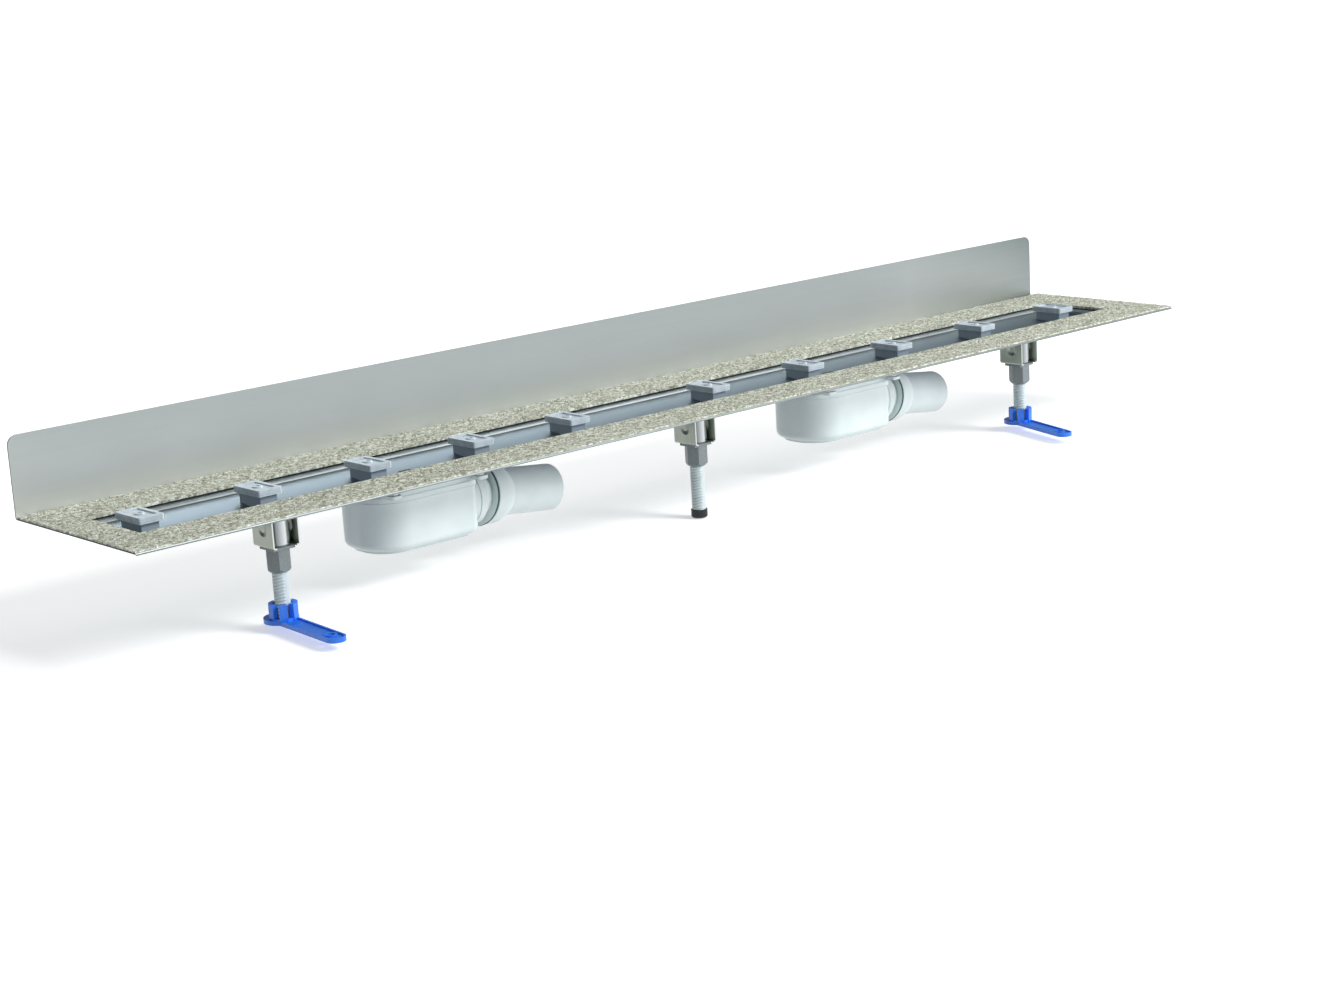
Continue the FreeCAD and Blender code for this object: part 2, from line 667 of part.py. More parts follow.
# Floor feet: a hub with prongs that grips the spindle, a disc, and an arm with a screw eye
def make_foot(name, x, turn):
    body = new_body(name)
    under = "(-foot_depth)"
    plate_top = f"({under} + foot_plate)"
    rim_top = f"({plate_top} + foot_rim)"
    half = "foot_arm_width / 2"
    disc = draw_circle(new_sketch(body, name + "_disc", "XY_Plane", under),
                       "0", "foot_disc_shift", "foot_disc_radius")
    pad(body, disc, "foot_plate + foot_rim")
    arm = draw_outline(new_sketch(body, name + "_arm", "XY_Plane", under),
                       arm_outline(half, "foot_arm_reach"))
    pad(body, arm, "foot_plate + foot_rim")
    tray = draw_outline(new_sketch(body, name + "_tray", "XY_Plane", rim_top),
                        arm_outline(f"({half} - foot_rim_width)", "foot_arm_reach - foot_rim_width"))
    pocket(body, tray, "foot_rim")
    ring = new_sketch(body, name + "_eye_ring", "XY_Plane", under)
    draw_circle(ring, "0", "-foot_eye_reach", "foot_eye_radius + foot_rim_width")
    pad(body, ring, "foot_plate + foot_rim")
    hub = draw_circle(new_sketch(body, name + "_hub", "XY_Plane", under), "0", "0", "foot_hub_radius")
    pad(body, hub, "foot_hub_height")
    doc.recompute()
    prong = draw_outline(new_sketch(body, name + "_prong", "XY_Plane", under), rectangle(
        "rod_radius + rod_play", "foot_hub_radius + foot_prong_depth / 2",
        "-foot_prong_width / 2", "foot_prong_width / 2"))
    first = pad(body, prong, "foot_prong_height")
    pattern = body.newObject("PartDesign::PolarPattern", name + "_prongs")
    pattern.Originals = [first]
    pattern.Axis = (prong, ["N_Axis"])
    pattern.Angle = 360
    pattern.Occurrences = PRONGS
    body.Tip = pattern
    socket = draw_circle(new_sketch(body, name + "_socket", "XY_Plane", f"{under} + foot_prong_height"),
                         "0", "0", "rod_radius + rod_play")
    pocket(body, socket, "foot_prong_height - foot_plate")
    eye = draw_circle(new_sketch(body, name + "_eye", "XY_Plane", rim_top),
                      "0", "-foot_eye_reach", "foot_eye_radius")
    pocket(body, eye, "foot_plate + foot_rim")
    turned(body, FreeCAD.Vector(0, 0, 1), "-" + turn)
    place(body, x, SPINDLE_Y)
    return keep(body)


def arm_outline(half, reach):
    """The arm from the disc's middle to its round tip, along -Y."""
    return [
        (f"-{half}", "0"), (f"-{half}", f"{half} - ({reach})", half), ("0", f"-({reach})", half),
        (half, f"{half} - ({reach})"), (half, "0"),
    ]


# Traps: a moulded cup with a weir, closed by a lid that is held up against the trough
def trap_outline(inset):
    """A trap's outline about its own middle, moved inwards: round at its left, tight corners at the outlet."""
    left = f"({inset} - trap_length / 2)"
    right = f"(trap_length / 2 - {inset})"
    low = f"({inset} - trap_width / 2)"
    high = f"(trap_width / 2 - {inset})"
    wide = f"(trap_corner - {inset})"
    tight = f"(trap_outlet_corner - min({inset}; trap_outlet_corner - sheet))"
    return [
        (f"{left} + {wide}", low), (f"{right} - {tight}", low, tight),
        (right, f"{low} + {tight}"), (right, f"{high} - {tight}", tight),
        (f"{right} - {tight}", high), (f"{left} + {wide}", high, wide),
        (left, f"{high} - {wide}"), (left, f"{low} + {wide}", wide),
    ]


def make_trap(name, x):
    body = new_body(name)
    floor = "(trap_foot_drop - trap_depth)"
    cup = draw_outline(new_sketch(body, name + "_cup", "XY_Plane", floor), trap_outline("0"))
    pad(body, cup, f"-trap_seam - {floor}")
    dress(body, "PartDesign::Fillet", "trap_fillet", lambda at: close(at.ZMax, amount(floor)))
    foot = draw_outline(new_sketch(body, name + "_foot", "XY_Plane", "-trap_depth"),
                        trap_outline("trap_foot_inset"))
    pad(body, foot, "trap_foot_drop + trap_wall")
    rebate = new_sketch(body, name + "_rebate", "XY_Plane", "-trap_seam")
    draw_outline(rebate, trap_outline("(-trap_rim_proud)"))
    draw_outline(rebate, trap_outline("trap_groove"))
    pocket(body, rebate, "trap_groove")
    inside = draw_outline(new_sketch(body, name + "_inside", "XY_Plane", f"{floor} + trap_wall"),
                          trap_outline("trap_wall"))
    pocket(body, inside, f"-trap_seam - {floor}", forward=True)
    dress(body, "PartDesign::Fillet", "(trap_fillet - trap_wall)",
          lambda at: close(at.ZMin, amount(f"{floor} + trap_wall")) and close(at.ZMax, at.ZMin))

    # The outlet's socket is turned about the outlet's axis, from inside the right wall to its mouth
    mouth = "trap_length / 2 + outlet_reach - ring_back"
    centre = "(trap_length / 2 + outlet_reach)"
    seat = "(ball_radius + ball_play)"
    throat = "(ball_radius - ball_play - sheet)"
    seat_start = f"({centre} - sqrt({seat} ^ 2 - {throat} ^ 2))"
    wall_face = "(trap_length / 2 - trap_wall)"
    root = "(outlet_depth - trap_seam - ball_play)"
    shoulder = "(trap_length / 2 + trap_rim_proud + ball_play)"
    stub = draw_outline(new_sketch(body, name + "_stub", "XZ_Plane"), [
        (wall_face, "outlet_throat"), (f"{shoulder} + sheet", "outlet_throat"), (f"{shoulder} + sheet", throat),
        (seat_start, throat, f"-{seat}"), (mouth, f"sqrt({seat} ^ 2 - ring_back ^ 2)"),
        (mouth, "socket_radius"), (shoulder, "socket_radius"), (shoulder, root), (wall_face, root),
    ])
    stub.setExpression("AttachmentOffset.Base.y", rule("-outlet_depth"))
    revolve(body, stub)
    bore = draw_circle(new_sketch(body, name + "_bore", "YZ_Plane", f"{wall_face} - trap_wall"),
                       "0", "-outlet_depth", "outlet_throat")
    pocket(body, bore, "3 * trap_wall", forward=True)
    place(body, x, TRAP_Y)
    return keep(body)


def standoff_places(middle):
    """Where the two standoffs of a trap hang: in front of its lid, near the left and the right end."""
    y = f"({TRAP_Y} - trap_width / 2 - standoff_front)"
    return [(f"({middle} - trap_length / 2 + standoff_left)", y),
            (f"({middle} + trap_length / 2 - standoff_right)", y)]


def make_lid(name, x):
    body = new_body(name)
    fixings = [(f"{at_x} - {x}", f"{at_y} - {TRAP_Y}") for at_x, at_y in standoff_places(x)]
    skirt = draw_outline(new_sketch(body, name + "_skirt", "XY_Plane", "-trap_seam"), trap_outline("0"))
    pad(body, skirt, f"trap_seam + {LID_TOP}")
    band = draw_outline(new_sketch(body, name + "_band", "XY_Plane", "-trap_seam"),
                        trap_outline("(-trap_rim_proud)"))
    pad(body, band, "trap_rim_height")
    for index, (across, along) in enumerate(fixings, start=1):
        lug = draw_outline(
            new_sketch(body, f"{name}_lug_{index}", "XY_Plane", f"{LID_TOP} - lug_thickness"),
            rounded(f"({across} - lug_half)", f"({across} + lug_half)", f"({along} - lug_half)",
                    f"({along} + standoff_front + lug_half * 2)", "lug_corner"))
        pad(body, lug, "lug_thickness")
    tongue = draw_outline(new_sketch(body, name + "_tongue", "XY_Plane", "-trap_seam - lid_tongue"),
                          trap_outline("(trap_wall + ball_play)"))
    pad(body, tongue, "lid_tongue")
    hollow = draw_outline(new_sketch(body, name + "_hollow", "XY_Plane", "-trap_seam - lid_tongue"),
                          trap_outline("(2 * trap_wall)"))
    pocket(body, hollow, f"lid_tongue + trap_seam + {LID_TOP} - trap_wall", forward=True)

    # The inlet's socket holds the seal, and the dip tube below it reaches into the cup
    socket_foot = "(-collar_depth - trap_wall)"
    dip_foot = "(dip_lift - trap_depth)"
    socket = draw_circle(new_sketch(body, name + "_socket", "XY_Plane", socket_foot),
                         "inlet_shift", "-inlet_forward", "seal_radius + trap_wall")
    pad(body, socket, f"{LID_TOP} - {socket_foot}")
    dip = draw_circle(new_sketch(body, name + "_dip", "XY_Plane", dip_foot),
                      "inlet_shift", "-inlet_forward", "dip_radius")
    pad(body, dip, f"{socket_foot} - {dip_foot}")
    seat = draw_circle(new_sketch(body, name + "_seat", "XY_Plane", LID_TOP),
                       "inlet_shift", "-inlet_forward", "seal_radius")
    pocket(body, seat, f"{LID_TOP} + collar_depth")
    bore = draw_circle(new_sketch(body, name + "_bore", "XY_Plane", LID_TOP),
                       "inlet_shift", "-inlet_forward", "dip_radius - trap_wall")
    pocket(body, bore, f"{LID_TOP} - {dip_foot}")

    # Each lug has a hole for a screw, with a seat for its head from below
    holes = new_sketch(body, name + "_screw_holes", "XY_Plane", LID_TOP)
    seats = new_sketch(body, name + "_screw_seats", "XY_Plane", f"{LID_TOP} - lug_thickness")
    for across, along in fixings:
        draw_circle(holes, across, along, "screw_radius + ball_play")
        draw_circle(seats, across, along, "screw_head_radius + ball_play")
    pocket(body, holes, "lug_thickness")
    pocket(body, seats, "screw_head_height", forward=True)
    place(body, x, TRAP_Y)
    return keep(body)


def make_inlet_seal(name, x):
    """The rubber ring in the lid's socket that the trough's collar is pushed through."""
    body = new_body(name)
    ring = new_sketch(body, name + "_ring", "XY_Plane", f"{LID_TOP} - seal_height")
    draw_circle(ring, "inlet_shift", "-inlet_forward", "seal_radius")
    draw_circle(ring, "inlet_shift", "-inlet_forward", "collar_radius")
    pad(body, ring, "seal_height")
    place(body, x, TRAP_Y)
    return keep(body)


def make_cup(name, x):
    """The loose cup that stands in the trap round the dip tube and holds the water that stops smells."""
    body = new_body(name)
    floor = "(trap_wall + trap_foot_drop - trap_depth)"
    outer = draw_circle(new_sketch(body, name + "_outer", "XY_Plane", floor),
                        "inlet_shift", "-inlet_forward", "cup_radius")
    pad(body, outer, "cup_height")
    dress(body, "PartDesign::Chamfer", "cup_bevel", lambda at: close(at.ZMax, amount(floor)))
    grip = draw_outline(
        new_sketch(body, name + "_grip", "XY_Plane", f"{floor} + cup_height - cup_lug"),
        rectangle("inlet_shift - cup_radius - cup_lug", "inlet_shift + cup_radius + cup_lug",
                  "-inlet_forward - cup_lug", "cup_lug - inlet_forward"))
    pad(body, grip, "cup_lug")
    inner = draw_circle(new_sketch(body, name + "_inner", "XY_Plane", f"{floor} + cup_height"),
                        "inlet_shift", "-inlet_forward", "cup_radius - trap_wall")
    pocket(body, inner, "cup_height - trap_wall")
    place(body, x, TRAP_Y)
    return keep(body)


def make_standoffs():
    """Hexagon standoffs welded under the flange, as one group of separate solids."""
    made = []
    length = f"{FLANGE_UNDER} - {LID_TOP}"
    for index, (x, y) in enumerate(standoff_places(TRAPS["left"]) + standoff_places(TRAPS["right"]), start=1):
        blank = hexagon(f"standoff_blank_{index}", "standoff_flats", length, x, y, LID_TOP)
        core = cylinder(f"standoff_core_{index}", "screw_radius + ball_play", "standoff_bore_depth",
                        x, y, LID_TOP)
        made.append(cut(f"standoff_{index}", blank, core))
    group = doc.addObject("Part::Compound", "lid_standoffs")
    group.Links = made
    return keep(group, "lid_standoffs")


def make_lid_screws():
    """The screws that hold the lids' lugs up to the standoffs, as one group of separate solids."""
    made = []
    under = f"({LID_TOP} - lug_thickness)"
    for index, (x, y) in enumerate(standoff_places(TRAPS["left"]) + standoff_places(TRAPS["right"]), start=1):
        head = cylinder(f"screw_head_{index}", "screw_head_radius", "screw_head_height", x, y, under)
        shank = cylinder(f"screw_shank_{index}", "screw_radius", "lug_thickness + standoff_bore_depth / 2",
                         x, y, under)
        made.append(fuse(f"lid_screw_{index}", [head, shank]))
    group = doc.addObject("Part::Compound", "lid_screws")
    group.Links = made
    return keep(group, "lid_screws")


# Outlets: a ring holds the ball in the trap's socket, so that the pipe can be swung and tilted
def make_ring(name, x):
    body = new_body(name)
    seat = "(ball_radius + ball_play)"
    revolve(body, draw_outline(new_sketch(body, name + "_profile", "XZ_Plane"), [
        ("-ring_back", f"sqrt({seat} ^ 2 - ring_back ^ 2)", f"-{seat}"),
        ("ring_front", f"sqrt({seat} ^ 2 - ring_front ^ 2)"), ("ring_front", "ring_lip_radius"),
        ("ring_front - sheet", "ring_radius"), ("-ring_back", "ring_radius"),
    ]))
    place(body, f"{x} + trap_length / 2 + outlet_reach", TRAP_Y, "-outlet_depth")
    return keep(body)


def outlet_place(body, x):
    """Put a piece that is modelled about the ball's centre at the outlet, swung down and to the wall's side."""
    turn = math.radians(amount("outlet_turn_angle"))
    turned(body, FreeCAD.Vector(0, math.cos(turn), math.sin(turn)), "outlet_swing_angle")
    return place(body, f"{x} + trap_length / 2 + outlet_reach", TRAP_Y, "-outlet_depth")


def make_gasket(name, x):
    body = new_body(name)
    neck = "(sqrt(ball_radius ^ 2 - gasket_back ^ 2))"
    edge = "gasket_width / 2"
    revolve(body, draw_outline(new_sketch(body, name + "_profile", "XZ_Plane"), [
        ("gasket_back", neck), ("gasket_back + gasket_width", neck),
        ("gasket_back + gasket_width", f"gasket_radius - {edge}", edge),
        (f"gasket_back + {edge}", "gasket_radius", edge),
        ("gasket_back", f"gasket_radius - {edge}"),
    ]))
    outlet_place(body, x)
    return keep(body)


def make_spigot(name, x):
    body = new_body(name)
    bore = "(pipe_radius - pipe_wall)"
    neck = "(sqrt(ball_radius ^ 2 - gasket_back ^ 2))"
    bell = "(gasket_back + gasket_width)"
    revolve(body, draw_outline(new_sketch(body, name + "_profile", "XZ_Plane"), [
        ("-ball_tail", bore), ("-ball_tail", "sqrt(ball_radius ^ 2 - ball_tail ^ 2)", "-ball_radius"),
        ("gasket_back", neck), (bell, neck), (bell, "bell_radius - sheet"), (f"{bell} + sheet", "bell_radius"),
        (f"{bell} + bell_flat", "bell_radius", "-bell_curve"), (f"{bell} + bell_length", "pipe_radius"),
        ("pipe_end - pipe_chamfer", "pipe_radius"), ("pipe_end", "pipe_radius - pipe_chamfer"),
        ("pipe_end", bore),
    ]))
    outlet_place(body, x)
    return keep(body)


make_channel()
make_sand()
make_trough()
LEFT_PITCH = f"((channel_length / 2 - clip_left_shift - clip_left_inset) / ({CLIPS_PER_GROUP} - 1))"
RIGHT_PITCH = f"((channel_length / 2 - clip_right_shift - clip_right_inset) / ({CLIPS_PER_GROUP} - 1))"
for index in range(CLIPS_PER_GROUP):
    make_clip(f"cover_clip_{index + 1}", f"{LEFT_END} + clip_left_inset + {LEFT_PITCH} * {index}")
for index in range(CLIPS_PER_GROUP):
    make_clip(f"cover_clip_{index + 1 + CLIPS_PER_GROUP}", f"clip_right_shift + {RIGHT_PITCH} * {index}")
make_standoffs()
make_lid_screws()
for side, middle in TRAPS.items():
    make_collar(f"inlet_collar_{side}", middle)
    make_trap(f"trap_body_{side}", middle)
    make_lid(f"trap_lid_{side}", middle)
    make_inlet_seal(f"inlet_seal_{side}", middle)
    make_cup(f"trap_cup_{side}", middle)
    make_ring(f"outlet_ring_{side}", middle)
    make_gasket(f"outlet_gasket_{side}", middle)
    make_spigot(f"outlet_spigot_{side}", middle)
for side, spindle in SPINDLES.items():
    make_bracket(f"foot_bracket_{side}", spindle)
    make_nut(f"levelling_nut_{side}", spindle)
    if side == "middle":
        make_rod("threaded_rod_middle", spindle, "(cap_height - cap_depth)", True)
        make_cap("rod_cap", spindle)
    else:
        make_rod(f"threaded_rod_{side}", spindle, "(foot_plate + rod_play - foot_depth)", False)
        make_foot(f"floor_foot_{side}", spindle, f"foot_{side}_angle")

doc.recompute()
failed = [item.Name for item in doc.Objects if "Invalid" in item.State or "Error" in item.State]
if failed:
    raise RuntimeError("Failed: " + ", ".join(failed))
for part in parts:
    if part.Shape.isNull() or not part.Shape.isValid() or not part.Shape.Solids:
        raise RuntimeError("%s has no valid solid" % part.Label)

os.makedirs("parts", exist_ok=True)
for part in parts:
    part.Shape.exportStep("parts/%s.step" % part.Label)
    print(part.Label, len(part.Shape.Solids), round(part.Shape.Volume, 1))
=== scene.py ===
from math import pi, radians

import bpy
from mathutils import Matrix, Vector


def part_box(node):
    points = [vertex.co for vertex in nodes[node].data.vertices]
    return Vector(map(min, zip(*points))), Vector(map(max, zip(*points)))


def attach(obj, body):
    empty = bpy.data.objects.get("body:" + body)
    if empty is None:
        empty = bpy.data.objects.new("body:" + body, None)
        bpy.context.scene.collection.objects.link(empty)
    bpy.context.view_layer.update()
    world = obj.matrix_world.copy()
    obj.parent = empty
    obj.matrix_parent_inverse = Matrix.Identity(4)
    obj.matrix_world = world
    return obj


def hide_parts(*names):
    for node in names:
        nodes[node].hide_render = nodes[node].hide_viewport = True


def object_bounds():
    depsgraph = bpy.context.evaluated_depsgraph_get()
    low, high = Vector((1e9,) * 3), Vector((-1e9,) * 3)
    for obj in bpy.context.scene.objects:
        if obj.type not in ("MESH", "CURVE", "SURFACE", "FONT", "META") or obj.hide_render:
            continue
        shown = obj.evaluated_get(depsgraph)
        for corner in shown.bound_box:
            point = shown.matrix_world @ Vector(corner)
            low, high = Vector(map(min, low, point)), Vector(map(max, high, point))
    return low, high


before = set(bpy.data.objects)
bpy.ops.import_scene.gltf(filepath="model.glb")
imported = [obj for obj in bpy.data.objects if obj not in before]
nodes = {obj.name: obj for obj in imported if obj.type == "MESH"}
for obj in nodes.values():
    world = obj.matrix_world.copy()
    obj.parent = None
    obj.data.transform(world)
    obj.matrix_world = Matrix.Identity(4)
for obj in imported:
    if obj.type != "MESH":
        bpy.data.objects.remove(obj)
cad_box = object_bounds()
scene = bpy.context.scene
scene.view_settings.view_transform = "Standard"


# The view: a long lens from the left front, a little above the flange.
# The place and turn were fitted to the corners of the flange, slot and upstand.
camera = bpy.data.objects.new("camera", bpy.data.cameras.new("camera"))
camera.data.lens = 66.43
camera.data.clip_start = 0.05
camera.data.clip_end = 60.0
camera_place = (-1.796, -2.120, 0.519)
camera_heading, camera_rise, camera_roll = radians(-41.45), radians(76.7), radians(-3.3)
camera.matrix_world = (Matrix.Translation(camera_place) @ Matrix.Rotation(camera_heading, 4, "Z")
                       @ Matrix.Rotation(camera_rise, 4, "X") @ Matrix.Rotation(camera_roll, 4, "Z"))
scene.collection.objects.link(camera)
scene.camera = camera


# The studio: an even surround, a soft sun from the right front and three soft boxes. The low one lights what
# hangs under the flange and isn't mirrored in the steel.
# The floor is pale and even in mirrored light, and the surround is plain white where the camera sees it.
world = bpy.data.worlds.new("studio")
scene.world = world
world.use_nodes = True
world.node_tree.nodes.clear()


def linear(text):
    """A six-digit sRGB colour as the linear colour that the shader works in."""
    channels = [int(text[place:place + 2], 16) / 255 for place in (1, 3, 5)]
    return [c / 12.92 if c <= 0.04045 else ((c + 0.055) / 1.055) ** 2.4 for c in channels] + [1.0]


def add_node(tree, kind, values=None, **settings):
    """A node with its settings, and its inputs set to values or linked from other nodes' outputs."""
    node = tree.nodes.new(kind)
    for name, value in settings.items():
        setattr(node, name, value)
    for key, value in (values or {}).items():
        if isinstance(value, bpy.types.NodeSocket):
            tree.links.new(value, node.inputs[key])
        else:
            node.inputs[key].default_value = value
    return node


paths = add_node(world.node_tree, "ShaderNodeLightPath")
surround = add_node(world.node_tree, "ShaderNodeBackground", {"Color": linear("#eef4f6"), "Strength": 0.3})
white = add_node(world.node_tree, "ShaderNodeBackground", {"Color": linear("#ffffff"), "Strength": 1.0})
seen = add_node(world.node_tree, "ShaderNodeMixShader", {
    0: paths.outputs["Is Camera Ray"], 1: surround.outputs[0], 2: white.outputs[0]})
add_node(world.node_tree, "ShaderNodeOutputWorld", {"Surface": seen.outputs[0]})

sun = bpy.data.objects.new("key_sun", bpy.data.lights.new("key_sun", "SUN"))
sun.data.energy = 2.1
sun.data.angle = radians(24)
sun_from = Vector((0.42, -0.90, 0.80))
sun.rotation_euler = sun_from.to_track_quat("Z", "Y").to_euler()
scene.collection.objects.link(sun)
for name, place, aim, size, power, mirrored in (
        ("low_soft_box", (1.7, -1.9, 0.22), (0.0, -0.15, -0.05), (2.4, 0.5), 36.0, False),
        ("left_soft_box", (-2.4, -0.7, 0.25), (-0.3, -0.15, -0.05), (0.7, 0.9), 2.0, True),
        ("top_soft_box", (1.0, 0.35, 1.9), (0.1, -0.1, 0.0), (3.4, 1.0), 20.0, True)):
    lamp = bpy.data.objects.new(name, bpy.data.lights.new(name, "AREA"))
    lamp.data.shape = "RECTANGLE"
    lamp.data.size, lamp.data.size_y = size
    lamp.data.energy = power
    lamp.location = place
    lamp.visible_glossy = mirrored
    lamp.rotation_euler = (Vector(place) - Vector(aim)).to_track_quat("Z", "Y").to_euler()
    scene.collection.objects.link(lamp)

floor_top = cad_box[0][2] - 0.001
floor_half = 30
floor_mesh = bpy.data.meshes.new("studio_floor")
floor_mesh.from_pydata([(x * floor_half, y * floor_half, floor_top) for x, y in ((-1, -1), (1, -1), (1, 1), (-1, 1))],
                       [], [(0, 1, 2, 3)])
floor = bpy.data.objects.new("studio_floor", floor_mesh)
scene.collection.objects.link(floor)


def new_material(name):
    """A material with an empty node tree and its output."""
    made = bpy.data.materials.new(name)
    made.use_nodes = True
    made.node_tree.nodes.clear()
    return made, made.node_tree, add_node(made.node_tree, "ShaderNodeOutputMaterial")


paper, tree, output = new_material("floor_paper_matt")
paper_paths = add_node(tree, "ShaderNodeLightPath")
paper_matt = add_node(tree, "ShaderNodeBsdfDiffuse", {"Color": linear("#f2f2f2")})
paper_glow = add_node(tree, "ShaderNodeEmission", {"Color": linear("#ffffff"), "Strength": 0.44})
paper_lit = add_node(tree, "ShaderNodeAddShader", {0: paper_matt.outputs[0], 1: paper_glow.outputs[0]})
paper_seen = add_node(tree, "ShaderNodeMixShader", {
    0: paper_paths.outputs["Is Diffuse Ray"], 1: paper_lit.outputs[0], 2: paper_matt.outputs[0]})
paper_mirrored = add_node(tree, "ShaderNodeEmission", {"Color": linear("#ffffff"), "Strength": 1.0})
paper_shown = add_node(tree, "ShaderNodeMixShader", {
    0: paper_paths.outputs["Is Glossy Ray"], 1: paper_seen.outputs[0], 2: paper_mirrored.outputs[0]})
tree.links.new(paper_shown.outputs[0], output.inputs["Surface"])
floor_mesh.materials.append(paper)


# Channel body: 1.5 mm stainless sheet, folded to flange and upstand. Faces turned to the left, such as the
# sheared left ends, are painted dark as shade. The mill brushed it along its length, so long soft clouds and fine
# lines run that way. Painted light makes the upstand brighter towards the fold, and painted shade makes the steel
# duller towards the right end and on the flange.
line_length, line_width = 0.2, 0.0011   # some ten times as wide as the real lines, so that they show
cloud_length, cloud_depth, cloud_height = 0.31, 0.11, 0.077
flange_top, painted_rise_foot, painted_dark_end_from = -0.0008, 0.004, 0.5
steel, tree, output = new_material("stainless_steel_brushed")
steel_place = add_node(tree, "ShaderNodeTexCoord")
brush_lines = add_node(tree, "ShaderNodeMapping", {
    0: steel_place.outputs["Object"], "Scale": (1 / line_length, 1 / line_width, 1 / line_width)})
brush = add_node(tree, "ShaderNodeTexNoise", {"Vector": brush_lines.outputs[0], "Scale": 1.0, "Detail": 3.0})
cloud_place = add_node(tree, "ShaderNodeMapping", {
    0: steel_place.outputs["Object"], "Scale": (1 / cloud_length, 1 / cloud_depth, 1 / cloud_height)})
cloud = add_node(tree, "ShaderNodeTexNoise", {"Vector": cloud_place.outputs[0], "Scale": 1.0, "Detail": 4.0,
                                              "Roughness": 0.55})
cloud_colour = add_node(tree, "ShaderNodeMix", {
    0: cloud.outputs["Fac"], 6: linear("#e9efef"), 7: linear("#ffffff")}, data_type="RGBA")
steel_axes = add_node(tree, "ShaderNodeSeparateXYZ", {0: steel_place.outputs["Object"]})
# Painted light: the upstand is painted brighter towards the fold.
painted_rise = add_node(tree, "ShaderNodeMapRange", {
    "Value": steel_axes.outputs["Z"], "From Min": painted_rise_foot, "From Max": cad_box[1][2]})
painted_rise_colour = add_node(tree, "ShaderNodeMix", {
    0: painted_rise.outputs[0], 6: linear("#ffffff"), 7: linear("#d6dcdc")}, data_type="RGBA")
clouds_and_painted_rise = add_node(tree, "ShaderNodeMix", {
    0: 1.0, 6: cloud_colour.outputs[2], 7: painted_rise_colour.outputs[2]}, data_type="RGBA", blend_type="MULTIPLY")
# Painted shade: the steel is painted darker towards the right end.
painted_dark_end = add_node(tree, "ShaderNodeMapRange", {
    "Value": steel_axes.outputs["X"], "From Min": painted_dark_end_from, "From Max": cad_box[1][0]})
painted_dark_end_colour = add_node(tree, "ShaderNodeMix", {
    0: painted_dark_end.outputs[0], 6: linear("#ffffff"), 7: linear("#b9c0c0")}, data_type="RGBA")
clouds_and_painted_light = add_node(tree, "ShaderNodeMix", {
    0: 1.0, 6: clouds_and_painted_rise.outputs[2], 7: painted_dark_end_colour.outputs[2]}, data_type="RGBA", blend_type="MULTIPLY")
streak_colour = add_node(tree, "ShaderNodeMix", {
    0: 0.12, 6: clouds_and_painted_light.outputs[2], 7: brush.outputs["Color"]}, data_type="RGBA", blend_type="OVERLAY")
# Painted shade: the flange and what lies under it are painted a darker grey.
flange_painted_shade = add_node(tree, "ShaderNodeMath", {0: steel_axes.outputs["Z"], 1: flange_top}, operation="LESS_THAN")
sheet_colour = add_node(tree, "ShaderNodeMix", {
    0: flange_painted_shade.outputs[0], 6: streak_colour.outputs[2], 7: linear("#a0a8a8")}, data_type="RGBA")
steel_facing = add_node(tree, "ShaderNodeSeparateXYZ", {
    0: add_node(tree, "ShaderNodeNewGeometry").outputs["True Normal"]})
# Painted shade: faces turned to the left are painted dark.
left_facing_painted_shade = add_node(tree, "ShaderNodeMath", {0: steel_facing.outputs["X"], 1: -0.5}, operation="LESS_THAN")
left_facing_shade_colour = add_node(tree, "ShaderNodeMix", {
    0: left_facing_painted_shade.outputs[0], 6: sheet_colour.outputs[2], 7: linear("#3a4246")}, data_type="RGBA")
steel_bump = add_node(tree, "ShaderNodeBump", {"Height": brush.outputs["Fac"], "Distance": 0.00004, "Strength": 0.5})
steel_shader = add_node(tree, "ShaderNodeBsdfPrincipled", {
    "Base Color": left_facing_shade_colour.outputs[2], "Metallic": 1.0, "Roughness": 0.43, "Normal": steel_bump.outputs[0]})
tree.links.new(steel_shader.outputs[0], output.inputs["Surface"])


def dress(names, material):
    """Give CAD nodes a material."""
    for name in names:
        nodes[name].data.materials.clear()
        nodes[name].data.materials.append(material)


dress(["channel_body", "inlet_collar_left", "inlet_collar_right"], steel)


# Trough: plates of the same sheet, welded to a pan under the slot.
# They are ground and polished so that water runs off. The floor is painted blue-grey and darker where it lies
# deeper, as painted shade and reflection, and the ledge at the back is painted pale as a painted reflection.
grind_length, grind_width = 0.125, 0.0017   # some ten times as wide as the real marks, so that they show
dip_low, dip_high, ledge_foot = -0.0165, -0.0092, -0.0086
polished, tree, output = new_material("stainless_steel_polished")
polished_place = add_node(tree, "ShaderNodeTexCoord")
polished_lines = add_node(tree, "ShaderNodeMapping", {
    0: polished_place.outputs["Object"], "Scale": (1 / grind_length, 1 / grind_width, 1 / grind_width)})
polished_grain = add_node(tree, "ShaderNodeTexNoise", {"Vector": polished_lines.outputs[0], "Scale": 1.0,
                                                       "Detail": 2.0})
polished_axes = add_node(tree, "ShaderNodeSeparateXYZ", {0: polished_place.outputs["Object"]})
# Painted shade and reflection: the floor is painted darker where it lies deeper.
painted_depth_shade = add_node(tree, "ShaderNodeMapRange", {
    "Value": polished_axes.outputs["Z"], "From Min": dip_low, "From Max": dip_high})
floor_painted_shade_colour = add_node(tree, "ShaderNodeMix", {
    0: painted_depth_shade.outputs[0], 6: linear("#5a6771"), 7: linear("#a8b4bd")}, data_type="RGBA")
